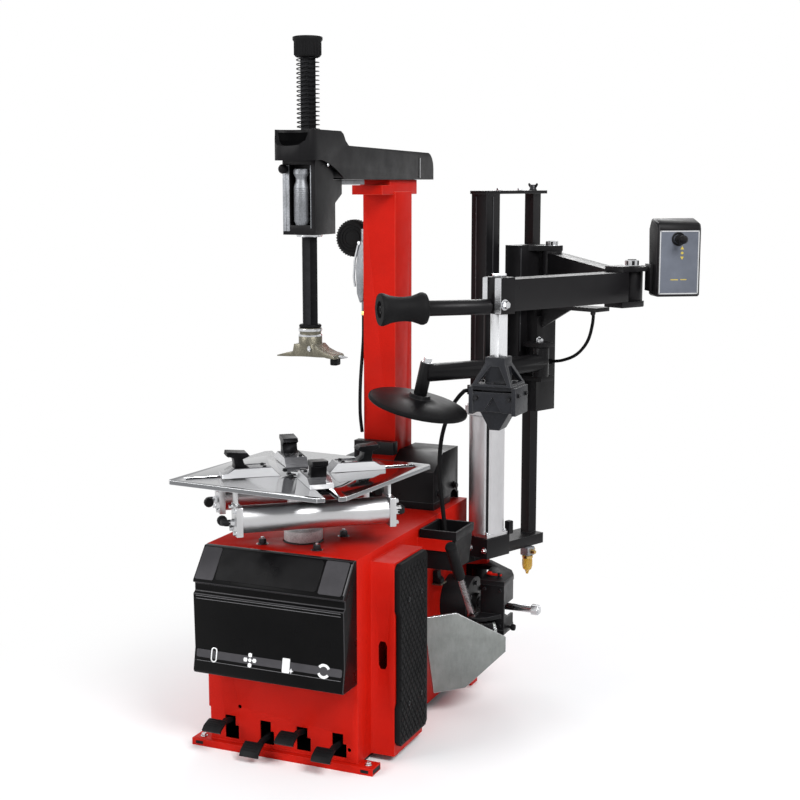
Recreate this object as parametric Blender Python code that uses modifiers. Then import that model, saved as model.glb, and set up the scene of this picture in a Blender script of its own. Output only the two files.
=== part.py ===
"""Swing-back tire changer with a turntable, bead breaker and assist arm, built from named pieces."""
import math

import bmesh
import bpy
from mathutils import Matrix, Vector

# Clearances in metres
GAP = 0.0003
RUN = 0.0006
LAP = 0.002

# Cabinet: the turntable axis is the plan origin, X right, Y to the back
CAB_HALF = 0.232
CAB_FRONT = -0.138
CAB_BACK = 0.690
CAB_LOW = 0.018
CAB_TOP = 0.594
WALL = 0.004
RAIL_HALF = 0.284
RAIL_DEEP = 0.054
RAIL_TALL = 0.020

# Wheel pad and its bracket
PAD_BOX = 0.070
PAD_THICK = 0.016
PAD_Y0 = -0.050
PAD_LONG = 0.200
PAD_Z0 = 0.046
PAD_TALL = 0.520

# Front panel
PANEL_DEEP = 0.082
PANEL_LOW = 0.246
PANEL_SKIN = 0.004

# Pedals
PEDAL_X = (-0.168, -0.055, 0.060, 0.170)
PEDAL_DROP = (0.0, 14.0, 0.0, 8.0)
PEDAL_WIDE = 0.060
AXLE_Y = 0.020
AXLE_Z = 0.085
AXLE_R = 0.008

# Turntable
TABLE_TOP = 0.790
TABLE_THICK = 0.012
TABLE_TIP = 0.380
TABLE_TURN = 40.0
SLOT_WIDE = 0.036
JAW_REST = 0.165
JAW_TALL = 0.072
CLAMP_R = 0.0375
CLAMP_HALF = 0.205
CLAMP_OFF = 0.140

# Column, arm and tool shaft
COL_WIDE = 0.108
COL_DEEP = 0.130
COL_FRONT = 0.525
COL_TOP = 1.545
PIVOT_Z = 0.682
PIVOT_R = 0.014
SHAFT_Y = 0.055
SHAFT_R = 0.024
ARM_LOW = 1.606
ARM_BEAM = 0.056
COVER_HALF = 0.062
TOOL_LOW = 1.160
SHAFT_TOP = 1.930
SPRING_WIRE = 0.0034
SPRING_CURLS = 15
SPRING_R = 0.0305

# Bead breaker
BREAK_Y = 0.540
BREAK_Z = 0.300
BREAK_R = 0.080
SWING_X = 0.290
SWING_Y = 0.655
BLADE_X = 0.253
BLADE_Y = 0.284
BLADE_TURN = 36.9
BLADE_THICK = 0.010

# Assist arm stand
STAND_X = 0.285
STAND_Y = 0.697
STAND_TURN = -22.0
PILLAR = 0.062
POST = 0.036
POST_OFF = 0.225
BEAM_Z = 0.448
BEAM_TALL = 0.034
STAND_TOP = 1.560
LINK_Z = 1.300
LINK_TALL = 0.084
LINK_RISE = 0.040
LINK_A = (0.466, 0.808)
LINK_B = (0.791, 0.535)
LINK_C = (0.555, 0.065)
DISC_AT = (0.200, 0.360, 0.945)
DISC_R = 0.150

# The plan shift that centres the whole machine over its own footprint
SHIFT_X = -0.3473
SHIFT_Y = -0.3300

for old in list(bpy.data.objects):
    bpy.data.objects.remove(old, do_unlink=True)
for old in list(bpy.data.collections):
    bpy.data.collections.remove(old)

PARTS = bpy.data.collections.new("tire_changer")
TOOLS = bpy.data.collections.new("cutters")
bpy.context.scene.collection.children.link(PARTS)
bpy.context.scene.collection.children.link(TOOLS)
TOOLS.hide_render = True


def frame(name, at=(0, 0, 0), turn=0.0, under=None, lean=None):
    """An empty that carries pieces: turned about Z in degrees, or leaned by an angle about an axis."""
    empty = bpy.data.objects.new(name, None)
    empty.empty_display_size = 0.05
    empty.location = at
    empty.rotation_euler = (0.0, 0.0, math.radians(turn))
    if lean is not None:
        empty.rotation_euler = Matrix.Rotation(math.radians(lean[0]), 3, Vector(lean[1])).to_euler()
    empty.parent = under
    PARTS.objects.link(empty)
    return empty


BASE = frame("base_frame", (SHIFT_X, SHIFT_Y, 0))
TABLE = frame("table_frame", (0, 0, 0), TABLE_TURN, under=BASE)
STAND = frame("stand_frame", (STAND_X, STAND_Y, 0), STAND_TURN, under=BASE)


def heading(a, b):
    """The turn in degrees of the plan line from a to b, and its length."""
    return math.degrees(math.atan2(b[1] - a[1], b[0] - a[0])), math.hypot(b[0] - a[0], b[1] - a[1])


INNER_TURN, INNER_LONG = heading(LINK_A, LINK_B)
OUTER_TURN, OUTER_LONG = heading(LINK_B, LINK_C)
INNER = frame("inner_frame", (LINK_A[0], LINK_A[1], LINK_Z), INNER_TURN, under=BASE)
OUTER = frame("outer_frame", (LINK_B[0], LINK_B[1], LINK_Z), OUTER_TURN, under=BASE)
BLADE = frame("blade_frame", (BLADE_X, BLADE_Y, 0), BLADE_TURN, under=BASE)


def material(name, colour, rough, metal):
    mat = bpy.data.materials.new(name)
    mat.use_nodes = True
    shader = mat.node_tree.nodes["Principled BSDF"]
    shader.inputs["Base Color"].default_value = (*colour, 1.0)
    shader.inputs["Roughness"].default_value = rough
    shader.inputs["Metallic"].default_value = metal
    mat.diffuse_color = (*colour, 1.0)
    return mat


RED = ("red_paint", (0.62, 0.02, 0.015), 0.35, 0.0)
BLACK = ("black_paint", (0.022, 0.022, 0.024), 0.45, 0.0)
PLASTIC = ("black_plastic", (0.03, 0.03, 0.032), 0.5, 0.0)
RUBBER = ("rubber", (0.02, 0.02, 0.021), 0.8, 0.0)
STEEL = ("bright_steel", (0.62, 0.64, 0.66), 0.25, 1.0)
DARK = ("dark_steel", (0.09, 0.09, 0.095), 0.4, 0.9)
ALU = ("aluminium", (0.72, 0.73, 0.75), 0.3, 1.0)
GREY = ("grey_metal", (0.35, 0.36, 0.37), 0.45, 0.6)
IRON = ("cast_iron", (0.12, 0.125, 0.13), 0.6, 0.5)
YELLOW = ("yellow_bowl", (0.75, 0.5, 0.06), 0.25, 0.0)


def raw(bm, under=BASE):
    """A working solid in the cutter collection from a bmesh."""
    bmesh.ops.recalc_face_normals(bm, faces=bm.faces[:])
    for face in bm.faces:
        face.smooth = False
    mesh = bpy.data.meshes.new("solid")
    bm.to_mesh(mesh)
    bm.free()
    obj = bpy.data.objects.new("solid", mesh)
    obj.parent = under
    obj.hide_render = True
    obj.display_type = 'WIRE'
    TOOLS.objects.link(obj)
    return obj


def block(x0, x1, y0, y1, z0, z1, under=BASE):
    bm = bmesh.new()
    bmesh.ops.create_cube(bm, size=1.0)
    for v in bm.verts:
        v.co.x = x1 if v.co.x > 0 else x0
        v.co.y = y1 if v.co.y > 0 else y0
        v.co.z = z1 if v.co.z > 0 else z0
    return raw(bm, under)


def settle(axis):
    """The turn that lays an outline's own Z along a machine axis."""
    rows = {'X': ((0, 0, 1), (1, 0, 0), (0, 1, 0)), 'Y': ((1, 0, 0), (0, 0, 1), (0, 1, 0)),
            'Z': ((1, 0, 0), (0, 1, 0), (0, 0, 1))}
    return Matrix(rows[axis]).to_4x4()


def prism(axis, points, a0, a1, under=BASE):
    """A flat outline pushed along an axis from a0 to a1."""
    curve = bpy.data.curves.new("outline", 'CURVE')
    curve.dimensions = '2D'
    curve.fill_mode = 'BOTH'
    curve.extrude = abs(a1 - a0) / 2
    spline = curve.splines.new('POLY')
    spline.points.add(len(points) - 1)
    for point, co in zip(spline.points, points):
        point.co = (co[0], co[1], 0.0, 1.0)
    spline.use_cyclic_u = True
    holder = bpy.data.objects.new("outline", curve)
    mesh = bpy.data.meshes.new_from_object(holder)
    bpy.data.objects.remove(holder)
    bm = bmesh.new()
    bm.from_mesh(mesh)
    bmesh.ops.remove_doubles(bm, verts=bm.verts[:], dist=1e-6)
    bmesh.ops.dissolve_limit(bm, angle_limit=0.0005, verts=bm.verts[:], edges=bm.edges[:])
    bmesh.ops.translate(bm, vec=(0, 0, (a0 + a1) / 2), verts=bm.verts[:])
    bmesh.ops.transform(bm, matrix=settle(axis), verts=bm.verts[:])
    return raw(bm, under)


def rod(axis, c, r, a0, a1, n=24, under=BASE, start=0.0):
    """A round bar along an axis; c is its centre in the other two coordinates."""
    bm = bmesh.new()
    bmesh.ops.create_cone(bm, cap_ends=True, segments=n, radius1=r, radius2=r, depth=abs(a1 - a0))
    bmesh.ops.rotate(bm, matrix=Matrix.Rotation(start, 3, 'Z'), verts=bm.verts[:])
    bmesh.ops.translate(bm, vec=(c[0], c[1], (a0 + a1) / 2), verts=bm.verts[:])
    bmesh.ops.transform(bm, matrix=settle(axis), verts=bm.verts[:])
    return raw(bm, under)


def hexagon(axis, c, r, a0, a1, under=BASE):
    return rod(axis, c, r, a0, a1, 6, under, math.pi / 6)


def lathe(profile, at=(0, 0, 0), n=32, under=BASE, turn=None):
    """An outline of (radius, height) turned about its own Z with a Screw modifier, then placed."""
    area = sum(p[0] * q[1] - q[0] * p[1] for p, q in zip(profile, profile[1:] + profile[:1]))
    run = profile if area < 0 else profile[::-1]
    mesh = bpy.data.meshes.new("profile")
    edges = [(i, i + 1) for i in range(len(run) - 1)]
    if min(p[0] for p in run) > 1e-6:
        edges.append((len(run) - 1, 0))
    elif run[0][0] > 1e-6 or run[-1][0] > 1e-6:
        raise ValueError("a solid profile starts and ends on the axis")
    mesh.from_pydata([(r, 0.0, z) for r, z in run], edges, [])
    obj = bpy.data.objects.new("solid", mesh)
    obj.parent = under
    obj.location = at
    if turn is not None:
        obj.rotation_euler = turn.to_euler()
    obj.hide_render = True
    obj.display_type = 'WIRE'
    TOOLS.objects.link(obj)
    screw = obj.modifiers.new("screw", 'SCREW')
    screw.steps = n
    screw.render_steps = n
    screw.use_merge_vertices = True
    screw.merge_threshold = 0.00001
    return obj


def bar(a, b, wide, tall, under=BASE):
    """A straight rectangular bar between two points in a frame."""
    a, b = Vector(a), Vector(b)
    turn = (b - a).to_track_quat('X', 'Z').to_matrix().to_4x4()
    bm = bmesh.new()
    bmesh.ops.create_cube(bm, size=1.0)
    size = Matrix.Diagonal(((b - a).length, wide, tall, 1.0))
    bmesh.ops.transform(bm, matrix=Matrix.Translation((a + b) / 2) @ turn @ size, verts=bm.verts[:])
    return raw(bm, under)


def stick(a, b, r, n=16, under=BASE):
    """A straight round bar between two points in a frame."""
    a, b = Vector(a), Vector(b)
    turn = (b - a).to_track_quat('Z', 'Y').to_matrix().to_4x4()
    bm = bmesh.new()
    bmesh.ops.create_cone(bm, cap_ends=True, segments=n, radius1=r, radius2=r, depth=(b - a).length)
    bmesh.ops.transform(bm, matrix=Matrix.Translation((a + b) / 2) @ turn, verts=bm.verts[:])
    return raw(bm, under)


def part(name, look, base, add=(), cut=(), late=(), bevel=0.0, smooth=True, at=None):
    """Make a working solid a finished piece: bevel it, join and cut other solids, then join late ones."""
    obj = base
    obj.name = name
    obj.data.name = name
    obj.hide_render = False
    obj.display_type = 'TEXTURED'
    TOOLS.objects.unlink(obj)
    PARTS.objects.link(obj)
    if at is not None:
        obj.data.transform(Matrix.Translation(-Vector(at)))
        obj.location = at
    obj.data.materials.append(material(name + "_" + look[0], *look[1:]))
    if bevel:
        mod = obj.modifiers.new("bevel", 'BEVEL')
        mod.width = bevel
        mod.segments = 1
        mod.limit_method = 'ANGLE'
    for how, solids in (('UNION', add), ('DIFFERENCE', cut), ('UNION', late)):
        for solid in solids:
            mod = obj.modifiers.new(how.lower(), 'BOOLEAN')
            mod.operation = how
            mod.solver = 'EXACT'
            mod.object = solid
    if smooth:
        obj.data.polygons.foreach_set("use_smooth", [True] * len(obj.data.polygons))
        obj.data.set_sharp_from_angle(angle=math.radians(35))
    return obj


def carve(solid, cuts):
    """Cut a working solid before another piece uses it."""
    for other in cuts:
        mod = solid.modifiers.new("carve", 'BOOLEAN')
        mod.operation = 'DIFFERENCE'
        mod.solver = 'EXACT'
        mod.object = other
    return solid


def arc(cx, cy, r, start, stop, n):
    """Points on a circle from one angle to another, in degrees."""
    turns = [math.radians(start + (stop - start) * i / n) for i in range(n + 1)]
    return [(cx + r * math.cos(t), cy + r * math.sin(t)) for t in turns]


def hose(name, look, points, r, under=BASE, resolution=2):
    """A round tube along points, as one bevelled curve."""
    curve = bpy.data.curves.new(name, 'CURVE')
    curve.dimensions = '3D'
    curve.bevel_depth = r
    curve.bevel_resolution = resolution
    curve.use_fill_caps = True
    curve.render_resolution_u = 0
    spline = curve.splines.new('POLY')
    spline.points.add(len(points) - 1)
    for point, co in zip(spline.points, points):
        point.co = (*co, 1.0)
    curve.materials.append(material(name + "_" + look[0], *look[1:]))
    obj = bpy.data.objects.new(name, curve)
    obj.parent = under
    PARTS.objects.link(obj)
    return obj


def smooth_path(knots, count):
    """Evenly spaced points on a smooth run through the knots."""
    knots = [Vector(k) for k in knots]
    ends = [knots[0] * 2 - knots[1]] + knots + [knots[-1] * 2 - knots[-2]]
    fine = []
    for i in range(1, len(ends) - 2):
        a, b, c, d = ends[i - 1:i + 3]
        for k in range(40):
            t = k / 40
            bend = 2 * a - 5 * b + 4 * c - d
            twist = 3 * b - a - 3 * c + d
            fine.append(0.5 * (2 * b + (c - a) * t + bend * t * t + twist * t ** 3))
    fine.append(knots[-1])
    run = [0.0]
    for p, q in zip(fine, fine[1:]):
        run.append(run[-1] + (q - p).length)
    out = []
    k = 0
    for i in range(count):
        want = run[-1] * i / (count - 1)
        while k < len(run) - 2 and run[k + 1] < want:
            k += 1
        f = (want - run[k]) / max(run[k + 1] - run[k], 1e-9)
        out.append(fine[k].lerp(fine[k + 1], min(max(f, 0.0), 1.0)))
    return out


# Cabinet: a welded sheet box with floor rails, pad bracket, bucket fork, breaker lugs and pedal axle
BUCKET_Y0 = 0.285
BUCKET_LONG = 0.140
BUCKET_WIDE = 0.112
BUCKET_RIM = 0.585
FORK_Z = 0.525
FORK_TALL = 0.034
BUCKET_X0 = CAB_HALF + 0.008
PAD_X = CAB_HALF + PAD_BOX
PAD_TOP = PAD_Z0 + PAD_TALL
SPINDLE_R = 0.044
LUG_Z0 = 0.216
LUG_Z1 = 0.398
LUG = 0.014
ARM_Z0 = LUG_Z0 + LUG + RUN
ARM_Z1 = LUG_Z1 - RUN
fork_out = block(CAB_HALF - LAP, BUCKET_X0 + BUCKET_WIDE - 0.012, BUCKET_Y0 - 0.005,
                 BUCKET_Y0 + BUCKET_LONG + 0.005, FORK_Z, FORK_Z + FORK_TALL)
fork_in = block(BUCKET_X0, BUCKET_X0 + BUCKET_WIDE + 0.010, BUCKET_Y0, BUCKET_Y0 + BUCKET_LONG,
                FORK_Z - 0.01, FORK_Z + FORK_TALL + 0.01)
lug_shape = [(CAB_HALF - LAP, SWING_Y - 0.045), (SWING_X, SWING_Y - 0.032),
             (SWING_X + 0.030, SWING_Y - 0.012), (SWING_X + 0.030, SWING_Y + 0.012),
             (SWING_X, SWING_Y + 0.030), (CAB_HALF - LAP, SWING_Y + 0.030)]
cab_add = [
    block(-RAIL_HALF, RAIL_HALF, CAB_FRONT - 0.020, CAB_FRONT - 0.020 + RAIL_DEEP, 0, RAIL_TALL),
    block(-RAIL_HALF, RAIL_HALF, CAB_BACK - RAIL_DEEP - 0.03, CAB_BACK - 0.03, 0, RAIL_TALL),
    block(CAB_HALF - LAP, PAD_X, PAD_Y0, PAD_Y0 + PAD_LONG, CAB_LOW, PAD_TOP + 0.004),
    fork_out,
    prism('Z', lug_shape, LUG_Z0, LUG_Z0 + LUG),
    prism('Z', lug_shape, LUG_Z1, LUG_Z1 + LUG),
    rod('Z', (SWING_X, SWING_Y), 0.012, LUG_Z0 + LAP, LUG_Z1 + LAP, 20),
]
cab_cut = [
    block(-CAB_HALF + WALL, CAB_HALF - WALL, CAB_FRONT + WALL, CAB_BACK - WALL, -0.01, CAB_TOP - WALL),
    block(CAB_HALF + WALL, PAD_X - WALL, PAD_Y0 + WALL, PAD_Y0 + PAD_LONG - WALL, -0.01, PAD_TOP),
    fork_in,
    rod('Z', (0, 0), SPINDLE_R + 0.014, CAB_TOP - 0.02, CAB_TOP + 0.02, 32),
    rod('X', (BREAK_Y, BREAK_Z), BREAK_R + RUN, CAB_HALF - 0.02, CAB_HALF + 0.005, 32),
    prism('Y', [(x + CAB_HALF + PAD_BOX / 2, z + 0.306) for x, z in
                [(0.013, -0.028), (0.013, 0.028), (0.007, 0.040), (-0.007, 0.040), (-0.013, 0.028),
                 (-0.013, -0.028), (-0.007, -0.040), (0.007, -0.040)]], PAD_Y0 - 0.01, PAD_Y0 + 0.02),
    rod('Y', (-0.137, 0.128), 0.006, CAB_FRONT - 0.01, CAB_FRONT + 0.01, 12),
    rod('Y', (0.205, 0.055), 0.006, CAB_FRONT - 0.01, CAB_FRONT + 0.01, 12),
]
for px in PEDAL_X:
    cab_cut.append(prism('Y',
                         [(px - 0.017, 0.098), (px + 0.017, 0.098), (px + 0.017, 0.070),
                          (px + 0.027, 0.070), (px + 0.027, 0.030), (px - 0.017, 0.030)],
                         CAB_FRONT - 0.01, CAB_FRONT + 0.01))
for rx in (-1, 1):
    for ry in (CAB_FRONT - 0.020, CAB_BACK - RAIL_DEEP - 0.03):
        mid = ry + RAIL_DEEP / 2
        cab_cut.append(prism('Z',
                             [(rx * RAIL_HALF - rx * 0.034, mid - 0.008),
                              (rx * RAIL_HALF - rx * 0.014, mid - 0.008),
                              (rx * RAIL_HALF - rx * 0.014, mid + 0.008),
                              (rx * RAIL_HALF - rx * 0.034, mid + 0.008)], -0.01, RAIL_TALL + 0.01))
# The pedal axle spans the cabinet from wall to wall
axle = rod('X', (AXLE_Y, AXLE_Z), AXLE_R, -CAB_HALF + WALL - LAP, CAB_HALF - WALL + LAP, 16)
part("cabinet", RED, block(-CAB_HALF, CAB_HALF, CAB_FRONT, CAB_BACK, CAB_LOW, CAB_TOP), cab_add, cab_cut,
     [axle], smooth=False)

part("side_cover", RED,
     block(-CAB_HALF - 0.026, -CAB_HALF - GAP, CAB_FRONT + 0.03, CAB_BACK - 0.08, 0.10, CAB_TOP - 0.012),
     cut=[block(-CAB_HALF - 0.023, -CAB_HALF + 0.01, CAB_FRONT + 0.033, CAB_BACK - 0.083, 0.103,
                CAB_TOP - 0.015)], bevel=0.003, smooth=False)

# Front panel: a plastic shell with a sloped top band, a groove and a flared lower lip
PANEL_BACK = CAB_FRONT - GAP
panel_shape = [(PANEL_BACK, CAB_TOP), (PANEL_BACK - 0.016, CAB_TOP),
               (PANEL_BACK - PANEL_DEEP, CAB_TOP - 0.084), (PANEL_BACK - PANEL_DEEP, CAB_TOP - 0.090),
               (PANEL_BACK - PANEL_DEEP + 0.010, CAB_TOP - 0.094),
               (PANEL_BACK - PANEL_DEEP + 0.010, CAB_TOP - 0.116),
               (PANEL_BACK - PANEL_DEEP, CAB_TOP - 0.122),
               (PANEL_BACK - PANEL_DEEP + 0.004, PANEL_LOW + 0.070),
               (PANEL_BACK - PANEL_DEEP - 0.008, PANEL_LOW + 0.008),
               (PANEL_BACK - PANEL_DEEP - 0.004, PANEL_LOW), (PANEL_BACK, PANEL_LOW)]
panel_core = [(PANEL_BACK + 0.01, CAB_TOP - PANEL_SKIN), (PANEL_BACK - 0.014, CAB_TOP - PANEL_SKIN),
              (PANEL_BACK - PANEL_DEEP + PANEL_SKIN + 0.001, CAB_TOP - 0.084 - PANEL_SKIN),
              (PANEL_BACK - PANEL_DEEP + 0.010 + PANEL_SKIN, CAB_TOP - 0.094),
              (PANEL_BACK - PANEL_DEEP + 0.010 + PANEL_SKIN, CAB_TOP - 0.116),
              (PANEL_BACK - PANEL_DEEP + PANEL_SKIN + 0.004, PANEL_LOW + 0.070),
              (PANEL_BACK - PANEL_DEEP + PANEL_SKIN, PANEL_LOW + PANEL_SKIN),
              (PANEL_BACK + 0.01, PANEL_LOW + PANEL_SKIN)]
PANEL_HALF = CAB_HALF - 0.001
part("front_panel", PLASTIC, prism('X', panel_shape, -PANEL_HALF, PANEL_HALF),
     cut=[prism('X', panel_core, -PANEL_HALF + PANEL_SKIN, PANEL_HALF - PANEL_SKIN)], smooth=False)

# Wheel pad: rubber plate with cut corners and a stepped front edge
PAD_FACE = PAD_X + GAP
pad_shape = [(PAD_Y0 + 0.012, PAD_Z0), (PAD_Y0 + PAD_LONG - 0.012, PAD_Z0),
             (PAD_Y0 + PAD_LONG, PAD_Z0 + 0.014), (PAD_Y0 + PAD_LONG, PAD_TOP - 0.014),
             (PAD_Y0 + PAD_LONG - 0.012, PAD_TOP), (PAD_Y0 + 0.012, PAD_TOP), (PAD_Y0, PAD_TOP - 0.014),
             (PAD_Y0, PAD_TOP - 0.130), (PAD_Y0 + 0.010, PAD_TOP - 0.145),
             (PAD_Y0 + 0.010, PAD_Z0 + 0.125), (PAD_Y0, PAD_Z0 + 0.110), (PAD_Y0, PAD_Z0 + 0.014)]
part("wheel_pad", RUBBER, prism('X', pad_shape, PAD_FACE, PAD_FACE + PAD_THICK), smooth=False)

# Soap bucket: tapered open box whose rim sits on the fork


def taper(x0, x1, y0, y1, z0, z1, inset):
    bm = bmesh.new()
    bmesh.ops.create_cube(bm, size=1.0)
    for v in bm.verts:
        k = 0.0 if v.co.z > 0 else inset
        v.co.x = x1 - k if v.co.x > 0 else x0 + k
        v.co.y = y1 - k if v.co.y > 0 else y0 + k
        v.co.z = z1 if v.co.z > 0 else z0
    return raw(bm)


POT_X0, POT_X1 = BUCKET_X0 + RUN, BUCKET_X0 + BUCKET_WIDE - RUN
POT_Y0, POT_Y1 = BUCKET_Y0 + RUN, BUCKET_Y0 + BUCKET_LONG - RUN
BUCKET_LOW = 0.465
RIM_Z = FORK_Z + FORK_TALL + GAP
part("lube_bucket", PLASTIC, taper(POT_X0, POT_X1, POT_Y0, POT_Y1, BUCKET_LOW, RIM_Z + LAP, 0.008),
     [block(POT_X0 - 0.003, POT_X1 + 0.003, POT_Y0 - 0.003, POT_Y1 + 0.003, RIM_Z, BUCKET_RIM)],
     [taper(POT_X0 + 0.003, POT_X1 - 0.003, POT_Y0 + 0.003, POT_Y1 - 0.003, BUCKET_LOW + 0.003,
            BUCKET_RIM + 0.01, 0.008)], smooth=False)

# Column base: floor plate, two cheeks and the front stop block, with the pivot pin
COL_HALF = COL_WIDE / 2
COL_BACK = COL_FRONT + COL_DEEP
PIVOT_Y = COL_FRONT + COL_DEEP / 2
CHEEK = COL_HALF + RUN
SEAT = CAB_TOP + GAP
BASE_TOP = PIVOT_Z + 0.104
LEFT_TOP = PIVOT_Z + 0.044
RIGHT_TOP = PIVOT_Z + 0.080
part("column_base", BLACK,
     block(-CHEEK - 0.085, CHEEK + 0.150, COL_FRONT - 0.050, CAB_BACK - 0.004, SEAT, SEAT + 0.022),
     [prism('X', [(COL_FRONT - 0.048, SEAT + 0.01), (CAB_BACK - 0.006, SEAT + 0.01),
                  (CAB_BACK - 0.006, LEFT_TOP - 0.020), (CAB_BACK - 0.060, LEFT_TOP),
                  (COL_FRONT - 0.010, LEFT_TOP), (COL_FRONT - 0.048, LEFT_TOP - 0.020)], -CHEEK - 0.083,
            -CHEEK), prism('X', [(COL_FRONT - 0.048, SEAT + 0.01), (CAB_BACK - 0.006, SEAT + 0.01),
                                 (CAB_BACK - 0.006, RIGHT_TOP), (COL_FRONT + 0.030, RIGHT_TOP),
                                 (COL_FRONT - 0.048, RIGHT_TOP - 0.048)], CHEEK, CHEEK + 0.148),
      block(-CHEEK - 0.012, -CHEEK, COL_FRONT - 0.046, COL_FRONT - 0.012, LEFT_TOP - 0.030,
            BASE_TOP - 0.010),
      block(-CHEEK - 0.012, CHEEK + 0.012, COL_FRONT - 0.046, COL_FRONT - 0.012, BASE_TOP - 0.030,
            BASE_TOP + 0.010)],
     [rod('X', (PIVOT_Y, PIVOT_Z), PIVOT_R + GAP, -CHEEK - 0.050, CHEEK + 0.050, 24),
      block(-CHEEK - 0.077, -CHEEK - 0.056, COL_FRONT - 0.040, CAB_BACK - 0.012, SEAT - 0.01,
            LEFT_TOP - 0.030),
      block(CHEEK + 0.056, CHEEK + 0.142, COL_FRONT - 0.040, CAB_BACK - 0.012, SEAT - 0.01,
            RIGHT_TOP - 0.056),
      rod('X', (CAB_BACK - 0.044, SEAT), 0.034, CHEEK + 0.130, CHEEK + 0.170, 24)], smooth=False)
part("pivot_pin", STEEL, rod('X', (PIVOT_Y, PIVOT_Z), PIVOT_R, -CHEEK - 0.048, CHEEK + 0.048, 24))

# Column: square tube on the pin, with the head that guides the arm
BEAM_LOW = ARM_LOW - 0.004
GUIDE = ARM_BEAM / 2 + RUN
TILT_AT = (0, PIVOT_Y, PIVOT_Z)
HEAD_HALF = 0.050
HEAD_FRONT = COL_FRONT - 0.088
HEAD_TOP = ARM_LOW - 0.004 - RUN
part("column", RED, block(-COL_HALF, COL_HALF, COL_FRONT, COL_BACK, PIVOT_Z - 0.036, COL_TOP + 0.020),
     [block(-HEAD_HALF, HEAD_HALF, HEAD_FRONT, COL_BACK + 0.050, COL_TOP + 0.012, HEAD_TOP - 0.016),
      block(-HEAD_HALF, HEAD_HALF, COL_FRONT - 0.030, COL_BACK + 0.050, COL_TOP + 0.016, HEAD_TOP),
      block(-GUIDE - 0.014, GUIDE + 0.014, COL_FRONT - 0.020, COL_BACK + 0.048, HEAD_TOP - LAP,
            BEAM_LOW + ARM_BEAM * 0.6),
      prism('X', [(COL_BACK - LAP, COL_TOP - 0.080), (COL_BACK + 0.040, COL_TOP - 0.015),
                  (COL_BACK + 0.044, COL_TOP + 0.016), (COL_BACK - LAP, COL_TOP + 0.016)], -0.030,
            0.030)], [block(-COL_HALF + 0.006, COL_HALF - 0.006, COL_FRONT + 0.006, COL_BACK - 0.006,
                            PIVOT_Z + 0.040, COL_TOP - 0.010),
                      block(-COL_HALF + 0.006, COL_HALF - 0.006, COL_FRONT + 0.020, COL_BACK - 0.020,
                            PIVOT_Z - 0.06, PIVOT_Z + 0.060),
                      block(-GUIDE, GUIDE, COL_FRONT - 0.025, COL_BACK + 0.10, BEAM_LOW - RUN,
                            BEAM_LOW + 0.1),
                      block(-HEAD_HALF + 0.012, HEAD_HALF - 0.012, HEAD_FRONT + 0.010, COL_FRONT - 0.034,
                            COL_TOP, HEAD_TOP),
                      rod('X', (PIVOT_Y, PIVOT_Z), PIVOT_R + GAP, -0.1, 0.1, 24)], smooth=False,
     at=TILT_AT)

# Inflator on the column: ribbed gauge, gun and hose
GAUGE_X = -COL_HALF - GAP
part("inflator_gauge", RUBBER,
     rod('Y', (GAUGE_X - 0.060, 1.420), 0.056, COL_FRONT + 0.046, COL_FRONT + 0.086, 24),
     [block(GAUGE_X - 0.030, GAUGE_X, COL_FRONT + 0.050, COL_FRONT + 0.082, 1.440, 1.462),
      block(GAUGE_X - 0.012, GAUGE_X - 0.004, COL_FRONT + 0.060, COL_FRONT + 0.068, 1.45, 1.520)],
     bevel=0.006)
part("inflator_gun", GREY,
     prism('Y', [(GAUGE_X - 0.004, 1.415), (GAUGE_X - 0.016, 1.415), (GAUGE_X - 0.026, 1.380),
                 (GAUGE_X - 0.034, 1.330), (GAUGE_X - 0.030, 1.250), (GAUGE_X - 0.020, 1.220),
                 (GAUGE_X - 0.006, 1.228), (GAUGE_X - 0.002, 1.300)], COL_FRONT + 0.014,
           COL_FRONT + 0.040),
     [rod('Z', (GAUGE_X - 0.012, COL_FRONT + 0.027), 0.006, 1.180, 1.230, 12),
      rod('Z', (GAUGE_X - 0.012, COL_FRONT + 0.027), 0.007, 1.410, 1.450, 12),
      block(GAUGE_X - 0.020, GAUGE_X - 0.006, COL_FRONT + 0.030, COL_FRONT + 0.046 - GAP, 1.392, 1.412),
      block(GAUGE_X - 0.010, GAUGE_X, COL_FRONT + 0.018, COL_FRONT + 0.034, 1.330, 1.350)], bevel=0.003,
     smooth=False)
hose("inflator_hose", RUBBER,
     smooth_path([(GAUGE_X - 0.012, COL_FRONT + 0.027, 1.180 - GAP),
                  (GAUGE_X - 0.013, COL_FRONT + 0.026, 1.10), (GAUGE_X - 0.009, COL_FRONT - 0.004, 0.980),
                  (GAUGE_X - 0.007, COL_FRONT - 0.012, 0.880),
                  (GAUGE_X - 0.008, COL_FRONT + 0.004, 0.815)], 18), 0.0055)

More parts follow.
